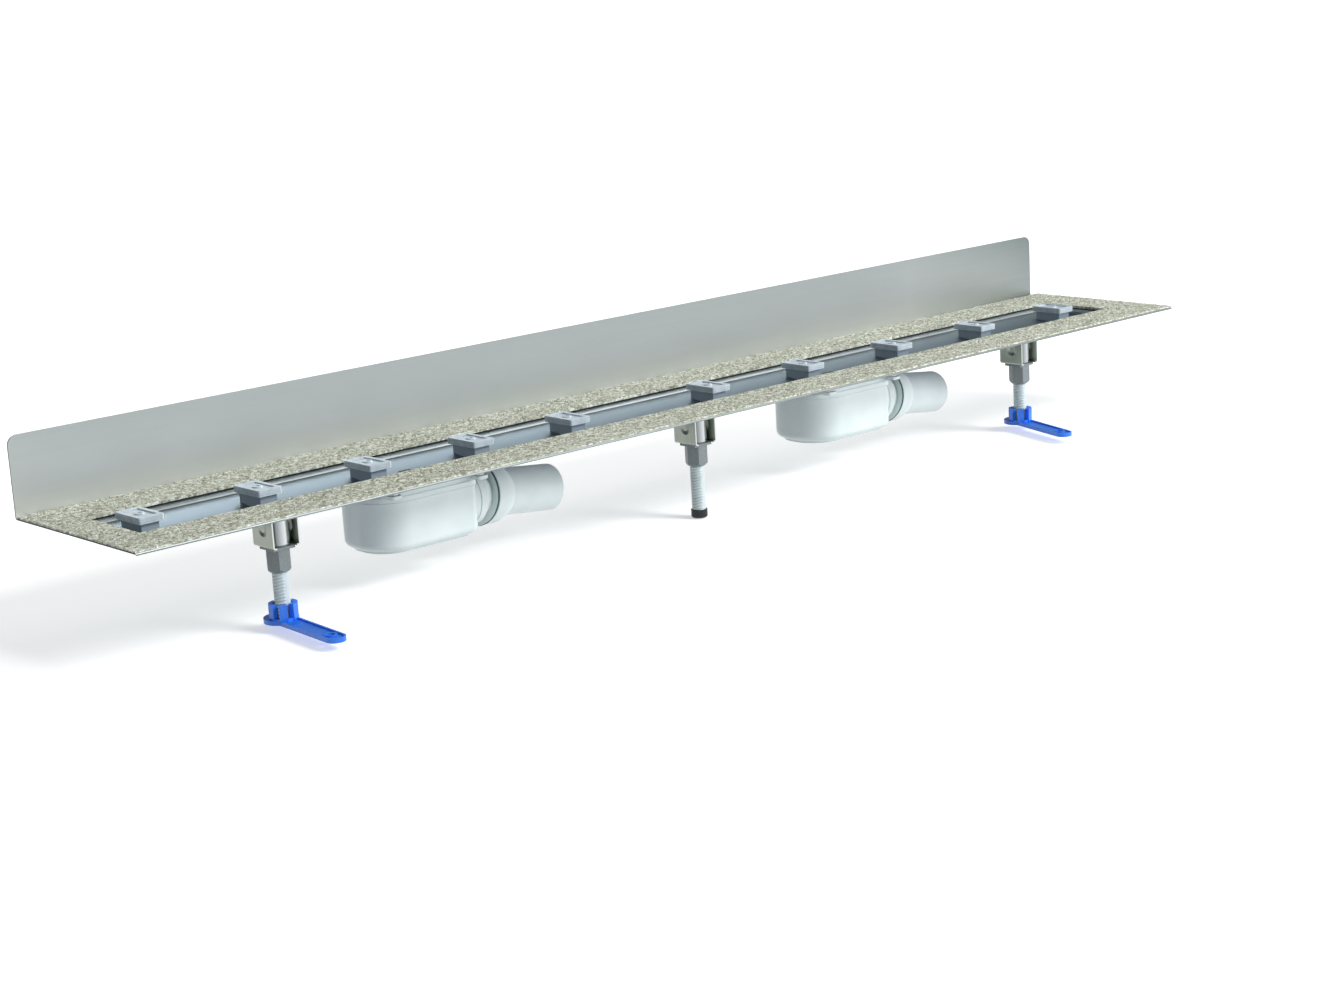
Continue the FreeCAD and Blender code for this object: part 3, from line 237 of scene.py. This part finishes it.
# Painted reflection: the ledge is painted pale, with a white tint on its sheen.
ledge_painted_reflection = add_node(tree, "ShaderNodeMath", {0: polished_axes.outputs["Z"], 1: ledge_foot}, operation="GREATER_THAN")
ledge_painted_reflection_colour = add_node(tree, "ShaderNodeMix", {
    0: ledge_painted_reflection.outputs[0], 6: floor_painted_shade_colour.outputs[2], 7: linear("#e9f0f3")}, data_type="RGBA")
polished_rough = add_node(tree, "ShaderNodeMapRange", {
    "Value": polished_grain.outputs["Fac"], "To Min": 0.28, "To Max": 0.46})
ledge_painted_sheen_tint = add_node(tree, "ShaderNodeMix", {
    0: ledge_painted_reflection.outputs[0], 6: linear("#d6dade"), 7: linear("#ffffff")}, data_type="RGBA")
polished_shader = add_node(tree, "ShaderNodeBsdfPrincipled", {
    "Base Color": ledge_painted_reflection_colour.outputs[2], "Metallic": 1.0, "Roughness": polished_rough.outputs[0],
    "Specular Tint": ledge_painted_sheen_tint.outputs[2]})
tree.links.new(polished_shader.outputs[0], output.inputs["Surface"])
dress([name for name in nodes if name.startswith(("trough_", "inlet_plate_"))], polished)


# Painted shade: a thin matt black strip in the corner between the trough's wall and the flange, where the gap
# under the flange's edge lies in shade. It shows as a dark line round the slot.
gap_strip_top, gap_strip_foot, gap_strip_width = -0.0031, -0.0051, 0.0007
gap_shade_fleck = 0.0025
painted_gap_shade, tree, output = new_material("sealant_black_matt")
gap_shade_place = add_node(tree, "ShaderNodeTexCoord")
gap_shade_grain = add_node(tree, "ShaderNodeTexNoise", {
    "Vector": gap_shade_place.outputs["Object"], "Scale": 1 / gap_shade_fleck})
gap_shade_colour = add_node(tree, "ShaderNodeMix", {
    0: gap_shade_grain.outputs["Fac"], 6: linear("#101419"), 7: linear("#262c31")}, data_type="RGBA")
gap_shade_shader = add_node(tree, "ShaderNodeBsdfPrincipled", {
    "Base Color": gap_shade_colour.outputs[2], "Roughness": 0.7, "IOR": 1.45})
tree.links.new(gap_shade_shader.outputs[0], output.inputs["Surface"])
slot_left, slot_front, slot_right, slot_back = -0.7130, -0.1640, 0.6960, -0.0584
# The strip of painted shade runs round the edge of the slot.
gap_strip_points = [(x, y, z) for z in (gap_strip_top, gap_strip_foot) for inset in (0, gap_strip_width) for x, y in (
    (slot_left + inset, slot_front + inset), (slot_right - inset, slot_front + inset),
    (slot_right - inset, slot_back - inset), (slot_left + inset, slot_back - inset))]
gap_strip_faces = []
for here in range(4):
    there = (here + 1) % 4
    gap_strip_faces += [(here, there, there + 4, here + 4), (here + 8, here + 12, there + 12, there + 8),
                   (here + 4, there + 4, there + 12, here + 12), (there, here, here + 8, there + 8)]
gap_strip_mesh = bpy.data.meshes.new("sealant_bead")
gap_strip_mesh.from_pydata(gap_strip_points, [], gap_strip_faces)
gap_strip_mesh.materials.append(painted_gap_shade)
gap_strip = bpy.data.objects.new("sealant_bead", gap_strip_mesh)
scene.collection.objects.link(gap_strip)
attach(gap_strip, "channel")


# Sand coating: quartz sand of 1 to 2 mm, strewn into wet resin on the flange so that sealant keys to it.
# Grains are pale with some darker ones, and they stand out of the resin as tiny stones. They are drawn a little
# coarser than the real ones, so that they show.
grain_width = 0.0025
sand, tree, output = new_material("quartz_sand_in_resin")
sand_place = add_node(tree, "ShaderNodeTexCoord")
sand_cells = add_node(tree, "ShaderNodeTexVoronoi", {
    "Vector": sand_place.outputs["Object"], "Scale": 1 / grain_width})
sand_tint = add_node(tree, "ShaderNodeSeparateXYZ", {0: sand_cells.outputs["Color"]})
sand_colour = add_node(tree, "ShaderNodeValToRGB", {"Fac": sand_tint.outputs["X"]})
sand_colour.color_ramp.elements[0].color = linear("#84856f")
sand_colour.color_ramp.elements[1].color = linear("#e9ece0")
sand_colour.color_ramp.elements.new(0.26).color = linear("#a6a796")
sand_colour.color_ramp.elements.new(0.62).color = linear("#c4c7b8")
sand_bump = add_node(tree, "ShaderNodeBump", {"Height": sand_cells.outputs["Distance"], "Distance": 0.0012,
                                              "Strength": 0.9}, invert=True)
sand_shader = add_node(tree, "ShaderNodeBsdfPrincipled", {
    "Base Color": sand_colour.outputs["Color"], "Roughness": 0.85, "Normal": sand_bump.outputs[0]})
tree.links.new(sand_shader.outputs[0], output.inputs["Surface"])
dress(["sand_coating"], sand)

grain_rule = bpy.data.node_groups.new("strewn_sand", "GeometryNodeTree")
for label, kind in (("Geometry", "NodeSocketGeometry"), ("Density", "NodeSocketFloat"),
                    ("Grain radius", "NodeSocketFloat"), ("Finish", "NodeSocketMaterial")):
    grain_rule.interface.new_socket(label, in_out="INPUT", socket_type=kind)
grain_rule.interface.new_socket("Geometry", in_out="OUTPUT", socket_type="NodeSocketGeometry")
given = add_node(grain_rule, "NodeGroupInput").outputs
strewn = add_node(grain_rule, "GeometryNodeDistributePointsOnFaces", {
    "Mesh": given["Geometry"], "Density": given["Density"], "Seed": 7})
stone = add_node(grain_rule, "GeometryNodeMeshUVSphere", {
    "Segments": 4, "Rings": 2, "Radius": given["Grain radius"]})
tumble = add_node(grain_rule, "FunctionNodeRandomValue", {"Max": (6.28, 6.28, 6.28), "Seed": 3},
                  data_type="FLOAT_VECTOR")
swell = add_node(grain_rule, "FunctionNodeRandomValue", {"Min": (0.6, 0.6, 0.5), "Max": (1.3, 1.1, 1.0), "Seed": 5},
                 data_type="FLOAT_VECTOR")
stones = add_node(grain_rule, "GeometryNodeInstanceOnPoints", {
    "Points": strewn.outputs["Points"], "Instance": stone.outputs["Mesh"], "Rotation": tumble.outputs[0],
    "Scale": swell.outputs[0]})
loose = add_node(grain_rule, "GeometryNodeRealizeInstances", {"Geometry": stones.outputs[0]})
coloured = add_node(grain_rule, "GeometryNodeSetMaterial", {
    "Geometry": loose.outputs[0], "Material": given["Finish"]})
add_node(grain_rule, "NodeGroupOutput", {0: coloured.outputs[0]})


def grown(name, rule, field=None, **sizes):
    """A plain mesh object made by a node tree with the given sizes, on a field if it needs one."""
    seed = bpy.data.objects.new(name + "_seed", field or bpy.data.meshes.new(name + "_seed"))
    scene.collection.objects.link(seed)
    modifier = seed.modifiers.new("rule", "NODES")
    modifier.node_group = rule
    for item in rule.interface.items_tree:
        label = item.name.replace(" ", "_").lower()
        if item.in_out == "INPUT" and label in sizes:
            modifier[item.identifier] = sizes[label]
    shape = bpy.data.meshes.new_from_object(seed.evaluated_get(bpy.context.evaluated_depsgraph_get()))
    seed.modifiers.clear()
    bpy.data.objects.remove(seed)
    shape.name = name
    made = bpy.data.objects.new(name, shape)
    scene.collection.objects.link(made)
    return made


sand_low, sand_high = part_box("sand_coating")
rim_side, rim_front, bare_ends, bare_sides, field_top = 0.001, 0.0006, 0.0020, 0.0022, -0.0002
grain_lines_x = (sand_low[0] + rim_side, slot_left + bare_ends, slot_right - bare_ends, sand_high[0] - rim_side)
grain_lines_y = (sand_low[1] + rim_front, slot_front + bare_sides, slot_back - bare_sides, sand_high[1] - rim_side)
field_points = [(x, y, field_top) for y in grain_lines_y for x in grain_lines_x]
field_faces = [(row * 4 + step, row * 4 + step + 1, row * 4 + step + 5, row * 4 + step + 4)
               for row in range(3) for step in range(3) if (row, step) != (1, 1)]
field = bpy.data.meshes.new("sand_field")
field.from_pydata(field_points, [], field_faces)
grains = grown("sand_grains", grain_rule, field, density=88000.0, grain_radius=0.0012, finish=sand)
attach(grains, "channel")


# Cover clips: blocks injection-moulded in clear-grey polypropylene that carry the tile tray of the cover.
# The plastic is frosted, so light blurs in it. A white highlight is painted on the rounded corners that turn to the
# right front and to the left back, and the foot under the block is painted darker as shade.
clip_names = ["cover_clip_%d" % number for number in range(1, 11)]
frost_patch, clip_foot_top = 0.011, -0.0006
highlight_start_facing, highlight_full_facing = -0.12, -0.3
clip_plastic, tree, output = new_material("polypropylene_frosted")
clip_place = add_node(tree, "ShaderNodeTexCoord")
clip_grain = add_node(tree, "ShaderNodeTexNoise", {
    "Vector": clip_place.outputs["Object"], "Scale": 1 / frost_patch, "Detail": 3.0})
clip_colour = add_node(tree, "ShaderNodeMix", {
    0: clip_grain.outputs["Fac"], 6: linear("#a0afbb"), 7: linear("#d9e3e9")}, data_type="RGBA")
clip_facing = add_node(tree, "ShaderNodeSeparateXYZ", {
    0: add_node(tree, "ShaderNodeNewGeometry").outputs["True Normal"]})
clip_turn = add_node(tree, "ShaderNodeMath", {
    0: clip_facing.outputs["X"], 1: clip_facing.outputs["Y"]}, operation="MULTIPLY")
# Painted highlight: rounded corners that turn to the right front and the left back are painted white.
clip_painted_highlight = add_node(tree, "ShaderNodeMapRange", {
    "Value": clip_turn.outputs[0], "From Min": highlight_start_facing, "From Max": highlight_full_facing})
clip_highlight_colour = add_node(tree, "ShaderNodeMix", {
    0: clip_painted_highlight.outputs[0], 6: clip_colour.outputs[2], 7: linear("#f6fafc")}, data_type="RGBA")
clip_axes = add_node(tree, "ShaderNodeSeparateXYZ", {0: clip_place.outputs["Object"]})
# Painted shade: the foot under the block is painted darker.
foot_painted_shade = add_node(tree, "ShaderNodeMath", {0: clip_axes.outputs["Z"], 1: clip_foot_top}, operation="LESS_THAN")
clip_tone = add_node(tree, "ShaderNodeMix", {
    0: foot_painted_shade.outputs[0], 6: clip_highlight_colour.outputs[2], 7: linear("#9dabb8")}, data_type="RGBA")
clip_bump = add_node(tree, "ShaderNodeBump", {"Height": clip_grain.outputs["Fac"], "Distance": 0.0002,
                                              "Strength": 0.3})
clip_shader = add_node(tree, "ShaderNodeBsdfPrincipled", {
    "Base Color": clip_tone.outputs[2], "Roughness": 0.26, "IOR": 1.49, "Normal": clip_bump.outputs[0]})
tree.links.new(clip_shader.outputs[0], output.inputs["Surface"])
dress(clip_names, clip_plastic)


# Brackets: folded from the same stainless sheet and spot-welded under the flange.
# Their faces are left dull from the mill with a round weld dimple in each flank. Faces turned to the front, such
# as the cut edges, are painted bright as a painted highlight.
feet_sides = ("left", "middle", "right")
mill_width, mill_length = 0.0011, 0.033   # some ten times as wide as the real lines, so that they show
weld_spot, weld_radius, weld_rim, weld_depth = (0.0, -0.184, -0.018), 0.003, 0.007, 0.0018
bracket_steel, tree, output = new_material("stainless_steel_mill_finish")
bracket_place = add_node(tree, "ShaderNodeTexCoord")
bracket_lines = add_node(tree, "ShaderNodeMapping", {
    0: bracket_place.outputs["Object"], "Scale": (1 / mill_width, 1 / mill_width, 1 / mill_length)})
bracket_grain = add_node(tree, "ShaderNodeTexNoise", {"Vector": bracket_lines.outputs[0], "Scale": 1.0,
                                                      "Detail": 2.0})
bracket_colour = add_node(tree, "ShaderNodeMix", {
    0: bracket_grain.outputs["Fac"], 6: linear("#828a80"), 7: linear("#b6bdb3")}, data_type="RGBA")
bracket_side = add_node(tree, "ShaderNodeNewGeometry")
bracket_facing = add_node(tree, "ShaderNodeSeparateXYZ", {0: bracket_side.outputs["True Normal"]})
# Painted highlight: faces turned to the front are painted nearly white.
front_face_painted_highlight = add_node(tree, "ShaderNodeMath", {0: bracket_facing.outputs["Y"], 1: -0.9}, operation="LESS_THAN")
front_highlight_colour = add_node(tree, "ShaderNodeMix", {
    0: front_face_painted_highlight.outputs[0], 6: bracket_colour.outputs[2], 7: linear("#eef2ee")}, data_type="RGBA")
weld_middle = add_node(tree, "ShaderNodeVectorMath", {
    0: bracket_place.outputs["Object"], 1: (0.0, 1.0, 1.0)}, operation="MULTIPLY")
weld_reach = add_node(tree, "ShaderNodeVectorMath", {
    0: weld_middle.outputs[0], 1: weld_spot}, operation="DISTANCE")
weld_dimple = add_node(tree, "ShaderNodeMapRange", {
    "Value": weld_reach.outputs["Value"], "From Min": weld_radius, "From Max": weld_rim})
weld_bump = add_node(tree, "ShaderNodeBump", {"Height": weld_dimple.outputs[0], "Distance": weld_depth})
bracket_shader = add_node(tree, "ShaderNodeBsdfPrincipled", {
    "Base Color": front_highlight_colour.outputs[2], "Metallic": 1.0, "Roughness": 0.34, "Normal": weld_bump.outputs[0]})
tree.links.new(bracket_shader.outputs[0], output.inputs["Surface"])
dress(["foot_bracket_" + side for side in feet_sides], bracket_steel)


# Levelling nuts: glass-filled nylon, moulded in one piece with barrel, collar and hexagon.
# The moulding is mid-grey and satin, with a fine grain from the glass fibres, and the barrel over the web is
# metallised so that it turns easily. It is painted dark on its left side and bright towards the right, as painted
# shade and painted reflection.
fibre_grain = 0.0014   # some ten times as coarse as the real fibres, so that it shows
barrel_foot, barrel_shade_side, barrel_light_side = -0.0345, -0.75, 0.1
nylon, tree, output = new_material("nylon_glass_filled")
nylon_place = add_node(tree, "ShaderNodeTexCoord")
nylon_grain = add_node(tree, "ShaderNodeTexNoise", {
    "Vector": nylon_place.outputs["Object"], "Scale": 1 / fibre_grain, "Detail": 2.0})
nylon_colour = add_node(tree, "ShaderNodeMix", {
    0: nylon_grain.outputs["Fac"], 6: linear("#626a6c"), 7: linear("#868e90")}, data_type="RGBA")
nylon_bump = add_node(tree, "ShaderNodeBump", {"Height": nylon_grain.outputs["Fac"], "Distance": 0.0001,
                                               "Strength": 0.25})
nylon_axes = add_node(tree, "ShaderNodeSeparateXYZ", {0: nylon_place.outputs["Object"]})
on_barrel = add_node(tree, "ShaderNodeMath", {0: nylon_axes.outputs["Z"], 1: barrel_foot}, operation="GREATER_THAN")
nylon_shader = add_node(tree, "ShaderNodeBsdfPrincipled", {
    "Base Color": nylon_colour.outputs[2], "Roughness": 0.4, "IOR": 1.53, "Normal": nylon_bump.outputs[0]})
barrel_facing = add_node(tree, "ShaderNodeSeparateXYZ", {
    0: add_node(tree, "ShaderNodeNewGeometry").outputs["Normal"]})
# Painted shade and reflection: the barrel runs from dark on the left to bright towards the right.
barrel_painted_light = add_node(tree, "ShaderNodeMapRange", {
    "Value": barrel_facing.outputs["X"], "From Min": barrel_shade_side, "From Max": barrel_light_side})
barrel_painted_light_colour = add_node(tree, "ShaderNodeMix", {
    0: barrel_painted_light.outputs[0], 6: linear("#4c565e"), 7: linear("#e6ecee")}, data_type="RGBA")
barrel_shader = add_node(tree, "ShaderNodeBsdfPrincipled", {
    "Base Color": barrel_painted_light_colour.outputs[2], "Metallic": 1.0, "Roughness": 0.22})
sleeve_shader = add_node(tree, "ShaderNodeMixShader", {
    0: on_barrel.outputs[0], 1: nylon_shader.outputs[0], 2: barrel_shader.outputs[0]})
tree.links.new(sleeve_shader.outputs[0], output.inputs["Surface"])
dress(["levelling_nut_" + side for side in feet_sides], nylon)


# Spindles: moulded in white polyoxymethylene, with a coarse thread that two long flats interrupt.
# The tool's parting line runs down the flats, so the crests show as rows of short ridges. The crest and flat
# values are shares of a turn.
acetal_cloud = 0.0167
crest_start, crest_full = 0.13, 0.33
flat_middle, flat_start, flat_full = 0.108, 0.105, 0.135
columns, row_height, end_height, seam_reach = 73, 0.0004, 0.0002, 0.000001
acetal, tree, output = new_material("acetal_white")
acetal_place = add_node(tree, "ShaderNodeTexCoord")
acetal_mottle = add_node(tree, "ShaderNodeTexNoise", {
    "Vector": acetal_place.outputs["Object"], "Scale": 1 / acetal_cloud})
acetal_colour = add_node(tree, "ShaderNodeMix", {
    0: acetal_mottle.outputs["Fac"], 6: linear("#b2bfc3"), 7: linear("#cdd9db")}, data_type="RGBA")
acetal_shader = add_node(tree, "ShaderNodeBsdfPrincipled", {
    "Base Color": acetal_colour.outputs[2], "Roughness": 0.36, "IOR": 1.48})
tree.links.new(acetal_shader.outputs[0], output.inputs["Surface"])

spindle_rule = bpy.data.node_groups.new("moulded_thread", "GeometryNodeTree")
for label, kind in (("Crest radius", "NodeSocketFloat"), ("Thread depth", "NodeSocketFloat"),
                    ("Pitch", "NodeSocketFloat"), ("Length", "NodeSocketFloat"), ("Pin length", "NodeSocketFloat"),
                    ("Pin radius", "NodeSocketFloat"), ("Foot", "NodeSocketVector"),
                    ("Finish", "NodeSocketMaterial")):
    spindle_rule.interface.new_socket(label, in_out="INPUT", socket_type=kind)
spindle_rule.interface.new_socket("Geometry", in_out="OUTPUT", socket_type="NodeSocketGeometry")
given = add_node(spindle_rule, "NodeGroupInput").outputs
rows = add_node(spindle_rule, "ShaderNodeMath", {0: given["Length"], 1: row_height}, operation="DIVIDE")
sheet = add_node(spindle_rule, "GeometryNodeMeshGrid", {
    "Size X": 1.0, "Size Y": given["Length"], "Vertices X": columns, "Vertices Y": rows.outputs[0]})
grid = add_node(spindle_rule, "ShaderNodeSeparateXYZ", {
    0: add_node(spindle_rule, "GeometryNodeInputPosition").outputs[0]})
turn = add_node(spindle_rule, "ShaderNodeMath", {0: grid.outputs["X"], 1: 2 * pi}, operation="MULTIPLY")
climb = add_node(spindle_rule, "ShaderNodeMath", {0: grid.outputs["Y"], 1: given["Pitch"]}, operation="DIVIDE")
phase = add_node(spindle_rule, "ShaderNodeMath", {0: climb.outputs[0], 1: grid.outputs["X"]}, operation="SUBTRACT")
wave = add_node(spindle_rule, "ShaderNodeMath", {0: phase.outputs[0], 1: 0.5}, operation="PINGPONG")
ridge = add_node(spindle_rule, "ShaderNodeMapRange", {
    "Value": wave.outputs[0], "From Min": crest_start, "From Max": crest_full}, interpolation_type="SMOOTHSTEP")
flat_turn = add_node(spindle_rule, "ShaderNodeMath", {0: grid.outputs["X"], 1: flat_middle}, operation="SUBTRACT")
flat_wave = add_node(spindle_rule, "ShaderNodeMath", {0: flat_turn.outputs[0], 1: 0.25}, operation="PINGPONG")
flats = add_node(spindle_rule, "ShaderNodeMapRange", {
    "Value": flat_wave.outputs[0], "From Min": flat_start, "From Max": flat_full, "To Min": 1.0, "To Max": 0.0},
    interpolation_type="SMOOTHSTEP")
raised = add_node(spindle_rule, "ShaderNodeMath", {0: ridge.outputs[0], 1: flats.outputs[0]}, operation="MULTIPLY")
inner = add_node(spindle_rule, "ShaderNodeMath", {0: given["Crest radius"], 1: given["Thread depth"]},
                 operation="SUBTRACT")
turned = add_node(spindle_rule, "ShaderNodeMath", {
    0: raised.outputs[0], 1: given["Thread depth"], 2: inner.outputs[0]}, operation="MULTIPLY_ADD")
half_length = add_node(spindle_rule, "ShaderNodeMath", {0: given["Length"], 1: 0.5}, operation="MULTIPLY")
height = add_node(spindle_rule, "ShaderNodeMath", {0: grid.outputs["Y"], 1: half_length.outputs[0]}, operation="ADD")
on_pin = add_node(spindle_rule, "ShaderNodeMath", {0: height.outputs[0], 1: given["Pin length"]},
                  operation="LESS_THAN")
stepped = add_node(spindle_rule, "ShaderNodeMix", {
    0: on_pin.outputs[0], 2: turned.outputs[0], 3: given["Pin radius"]})
end_reach = add_node(spindle_rule, "ShaderNodeMath", {0: grid.outputs["Y"]}, operation="ABSOLUTE")
end_start = add_node(spindle_rule, "ShaderNodeMath", {0: half_length.outputs[0], 1: end_height}, operation="SUBTRACT")
inside = add_node(spindle_rule, "ShaderNodeMath", {0: end_reach.outputs[0], 1: end_start.outputs[0]},
                  operation="LESS_THAN")
radius = add_node(spindle_rule, "ShaderNodeMath", {0: stepped.outputs[0], 1: inside.outputs[0]}, operation="MULTIPLY")
across = add_node(spindle_rule, "ShaderNodeMath", {0: turn.outputs[0]}, operation="COSINE")
away = add_node(spindle_rule, "ShaderNodeMath", {0: turn.outputs[0]}, operation="SINE")
rim = add_node(spindle_rule, "ShaderNodeCombineXYZ", {0: across.outputs[0], 1: away.outputs[0]})
around = add_node(spindle_rule, "ShaderNodeVectorMath", {0: rim.outputs[0], "Scale": radius.outputs[0]},
                  operation="SCALE")
up = add_node(spindle_rule, "ShaderNodeCombineXYZ", {2: height.outputs[0]})
lifted = add_node(spindle_rule, "ShaderNodeVectorMath", {0: around.outputs[0], 1: up.outputs[0]}, operation="ADD")
placed = add_node(spindle_rule, "ShaderNodeVectorMath", {0: lifted.outputs[0], 1: given["Foot"]}, operation="ADD")
rolled = add_node(spindle_rule, "GeometryNodeSetPosition", {
    "Geometry": sheet.outputs["Mesh"], "Position": placed.outputs[0]})
joined = add_node(spindle_rule, "GeometryNodeMergeByDistance", {
    "Geometry": rolled.outputs[0], "Distance": seam_reach})
smooth = add_node(spindle_rule, "GeometryNodeSetShadeSmooth", {"Geometry": joined.outputs[0]})
real = add_node(spindle_rule, "GeometryNodeRealizeInstances", {"Geometry": smooth.outputs[0]})
finished = add_node(spindle_rule, "GeometryNodeSetMaterial", {
    "Geometry": real.outputs[0], "Material": given["Finish"]})
add_node(spindle_rule, "NodeGroupOutput", {0: finished.outputs[0]})


for side, pin_length in (("left", 0.0), ("middle", 0.005), ("right", 0.0)):
    low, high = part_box("threaded_rod_" + side)
    thread = grown("spindle_thread_" + side, spindle_rule, crest_radius=0.0087, thread_depth=0.0010, pitch=0.0032,
                   length=high[2] - low[2], pin_length=pin_length, pin_radius=0.0063,
                   foot=((low[0] + high[0]) / 2, (low[1] + high[1]) / 2, low[2]), finish=acetal)
    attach(thread, "spindle_" + side)
    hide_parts("threaded_rod_" + side)


# Rubber cap and inlet seals: moulded in black rubber. The cap is pushed over the end of the middle spindle, and
# the seals sit round the collars in the traps' lids.
# The rubber is dull, with a soft sheen on rounded rims.
rubber_grit = 0.0011   # drawn coarser than the real bloom, so that it shows
rubber, tree, output = new_material("rubber_black_moulded")
rubber_place = add_node(tree, "ShaderNodeTexCoord")
rubber_grain = add_node(tree, "ShaderNodeTexNoise", {
    "Vector": rubber_place.outputs["Object"], "Scale": 1 / rubber_grit})
rubber_colour = add_node(tree, "ShaderNodeMix", {
    0: rubber_grain.outputs["Fac"], 6: linear("#101114"), 7: linear("#26282c")}, data_type="RGBA")
rubber_shader = add_node(tree, "ShaderNodeBsdfPrincipled", {
    "Base Color": rubber_colour.outputs[2], "Roughness": 0.55, "IOR": 1.52})
tree.links.new(rubber_shader.outputs[0], output.inputs["Surface"])
dress(["rod_cap", "inlet_seal_left", "inlet_seal_right"], rubber)


# Floor feet: moulded in blue polyamide, with a hub that snaps round the spindle and an arm for the floor screw.
# The colour goes right through, and the satin face shows slight flow marks.
flow_mark = 0.0083
blue, tree, output = new_material("polyamide_blue")
blue_place = add_node(tree, "ShaderNodeTexCoord")
blue_flow = add_node(tree, "ShaderNodeTexNoise", {
    "Vector": blue_place.outputs["Object"], "Scale": 1 / flow_mark, "Detail": 2.0})
blue_colour = add_node(tree, "ShaderNodeMix", {
    0: blue_flow.outputs["Fac"], 6: linear("#1e5cd6"), 7: linear("#3a8ffa")}, data_type="RGBA")
blue_shader = add_node(tree, "ShaderNodeBsdfPrincipled", {
    "Base Color": blue_colour.outputs[2], "Roughness": 0.34, "IOR": 1.53})
tree.links.new(blue_shader.outputs[0], output.inputs["Surface"])
dress(["floor_foot_left", "floor_foot_right"], blue)


# Traps and outlets: bodies, lids, cups, clamp rings and ball spigots are moulded in white polypropylene. The lid is
# pushed into the body at a seam, and the ring holds the ball.
# The white has a cool tint and a satin face, with faint sink marks where the wall is thick.
sink_mark = 0.036
white_plastic, tree, output = new_material("polypropylene_white")
white_place = add_node(tree, "ShaderNodeTexCoord")
white_sinks = add_node(tree, "ShaderNodeTexNoise", {
    "Vector": white_place.outputs["Object"], "Scale": 1 / sink_mark, "Detail": 2.0})
white_colour = add_node(tree, "ShaderNodeMix", {
    0: white_sinks.outputs["Fac"], 6: linear("#cad6d8"), 7: linear("#e0e9ea")}, data_type="RGBA")
white_bump = add_node(tree, "ShaderNodeBump", {"Height": white_sinks.outputs["Fac"], "Distance": 0.0004,
                                               "Strength": 0.15})
white_shader = add_node(tree, "ShaderNodeBsdfPrincipled", {
    "Base Color": white_colour.outputs[2], "Roughness": 0.3, "IOR": 1.49, "Normal": white_bump.outputs[0]})
tree.links.new(white_shader.outputs[0], output.inputs["Surface"])
trap_pieces = ("trap_body", "trap_lid", "trap_cup", "outlet_ring", "outlet_spigot")
dress([piece + "_" + side for piece in trap_pieces for side in ("left", "right")], white_plastic)


# Gaskets: rings of grey-green rubber behind the bells of the outlets.
# They are moulded and a little shiny. Their flat face, turned to the left, is drawn much paler than the rim.
gasket_grit = 0.0014
gasket_rubber, tree, output = new_material("rubber_grey_green")
gasket_place = add_node(tree, "ShaderNodeTexCoord")
gasket_grain = add_node(tree, "ShaderNodeTexNoise", {
    "Vector": gasket_place.outputs["Object"], "Scale": 1 / gasket_grit})
gasket_colour = add_node(tree, "ShaderNodeMix", {
    0: gasket_grain.outputs["Fac"], 6: linear("#33494b"), 7: linear("#4d6567")}, data_type="RGBA")
gasket_facing = add_node(tree, "ShaderNodeSeparateXYZ", {
    0: add_node(tree, "ShaderNodeNewGeometry").outputs["True Normal"]})
gasket_face = add_node(tree, "ShaderNodeMath", {0: gasket_facing.outputs["X"], 1: -0.9}, operation="LESS_THAN")
gasket_tone = add_node(tree, "ShaderNodeMix", {
    0: gasket_face.outputs[0], 6: gasket_colour.outputs[2], 7: linear("#dbe8e6")}, data_type="RGBA")
gasket_shader = add_node(tree, "ShaderNodeBsdfPrincipled", {
    "Base Color": gasket_tone.outputs[2], "Roughness": 0.45, "IOR": 1.52})
tree.links.new(gasket_shader.outputs[0], output.inputs["Surface"])
dress(["outlet_gasket_left", "outlet_gasket_right"], gasket_rubber)


# Standoffs and lid screws: turned steel, zinc-plated, welded under the flange and screwed up from below.
# The plating is bright and slightly uneven.
zinc_spangle = 0.0033
zinc, tree, output = new_material("steel_zinc_plated")
zinc_place = add_node(tree, "ShaderNodeTexCoord")
zinc_patch = add_node(tree, "ShaderNodeTexNoise", {
    "Vector": zinc_place.outputs["Object"], "Scale": 1 / zinc_spangle})
zinc_colour = add_node(tree, "ShaderNodeMix", {
    0: zinc_patch.outputs["Fac"], 6: linear("#b9bec1"), 7: linear("#eceff0")}, data_type="RGBA")
zinc_shader = add_node(tree, "ShaderNodeBsdfPrincipled", {
    "Base Color": zinc_colour.outputs[2], "Metallic": 1.0, "Roughness": 0.24})
tree.links.new(zinc_shader.outputs[0], output.inputs["Surface"])
dress(["lid_standoffs", "lid_screws"], zinc)
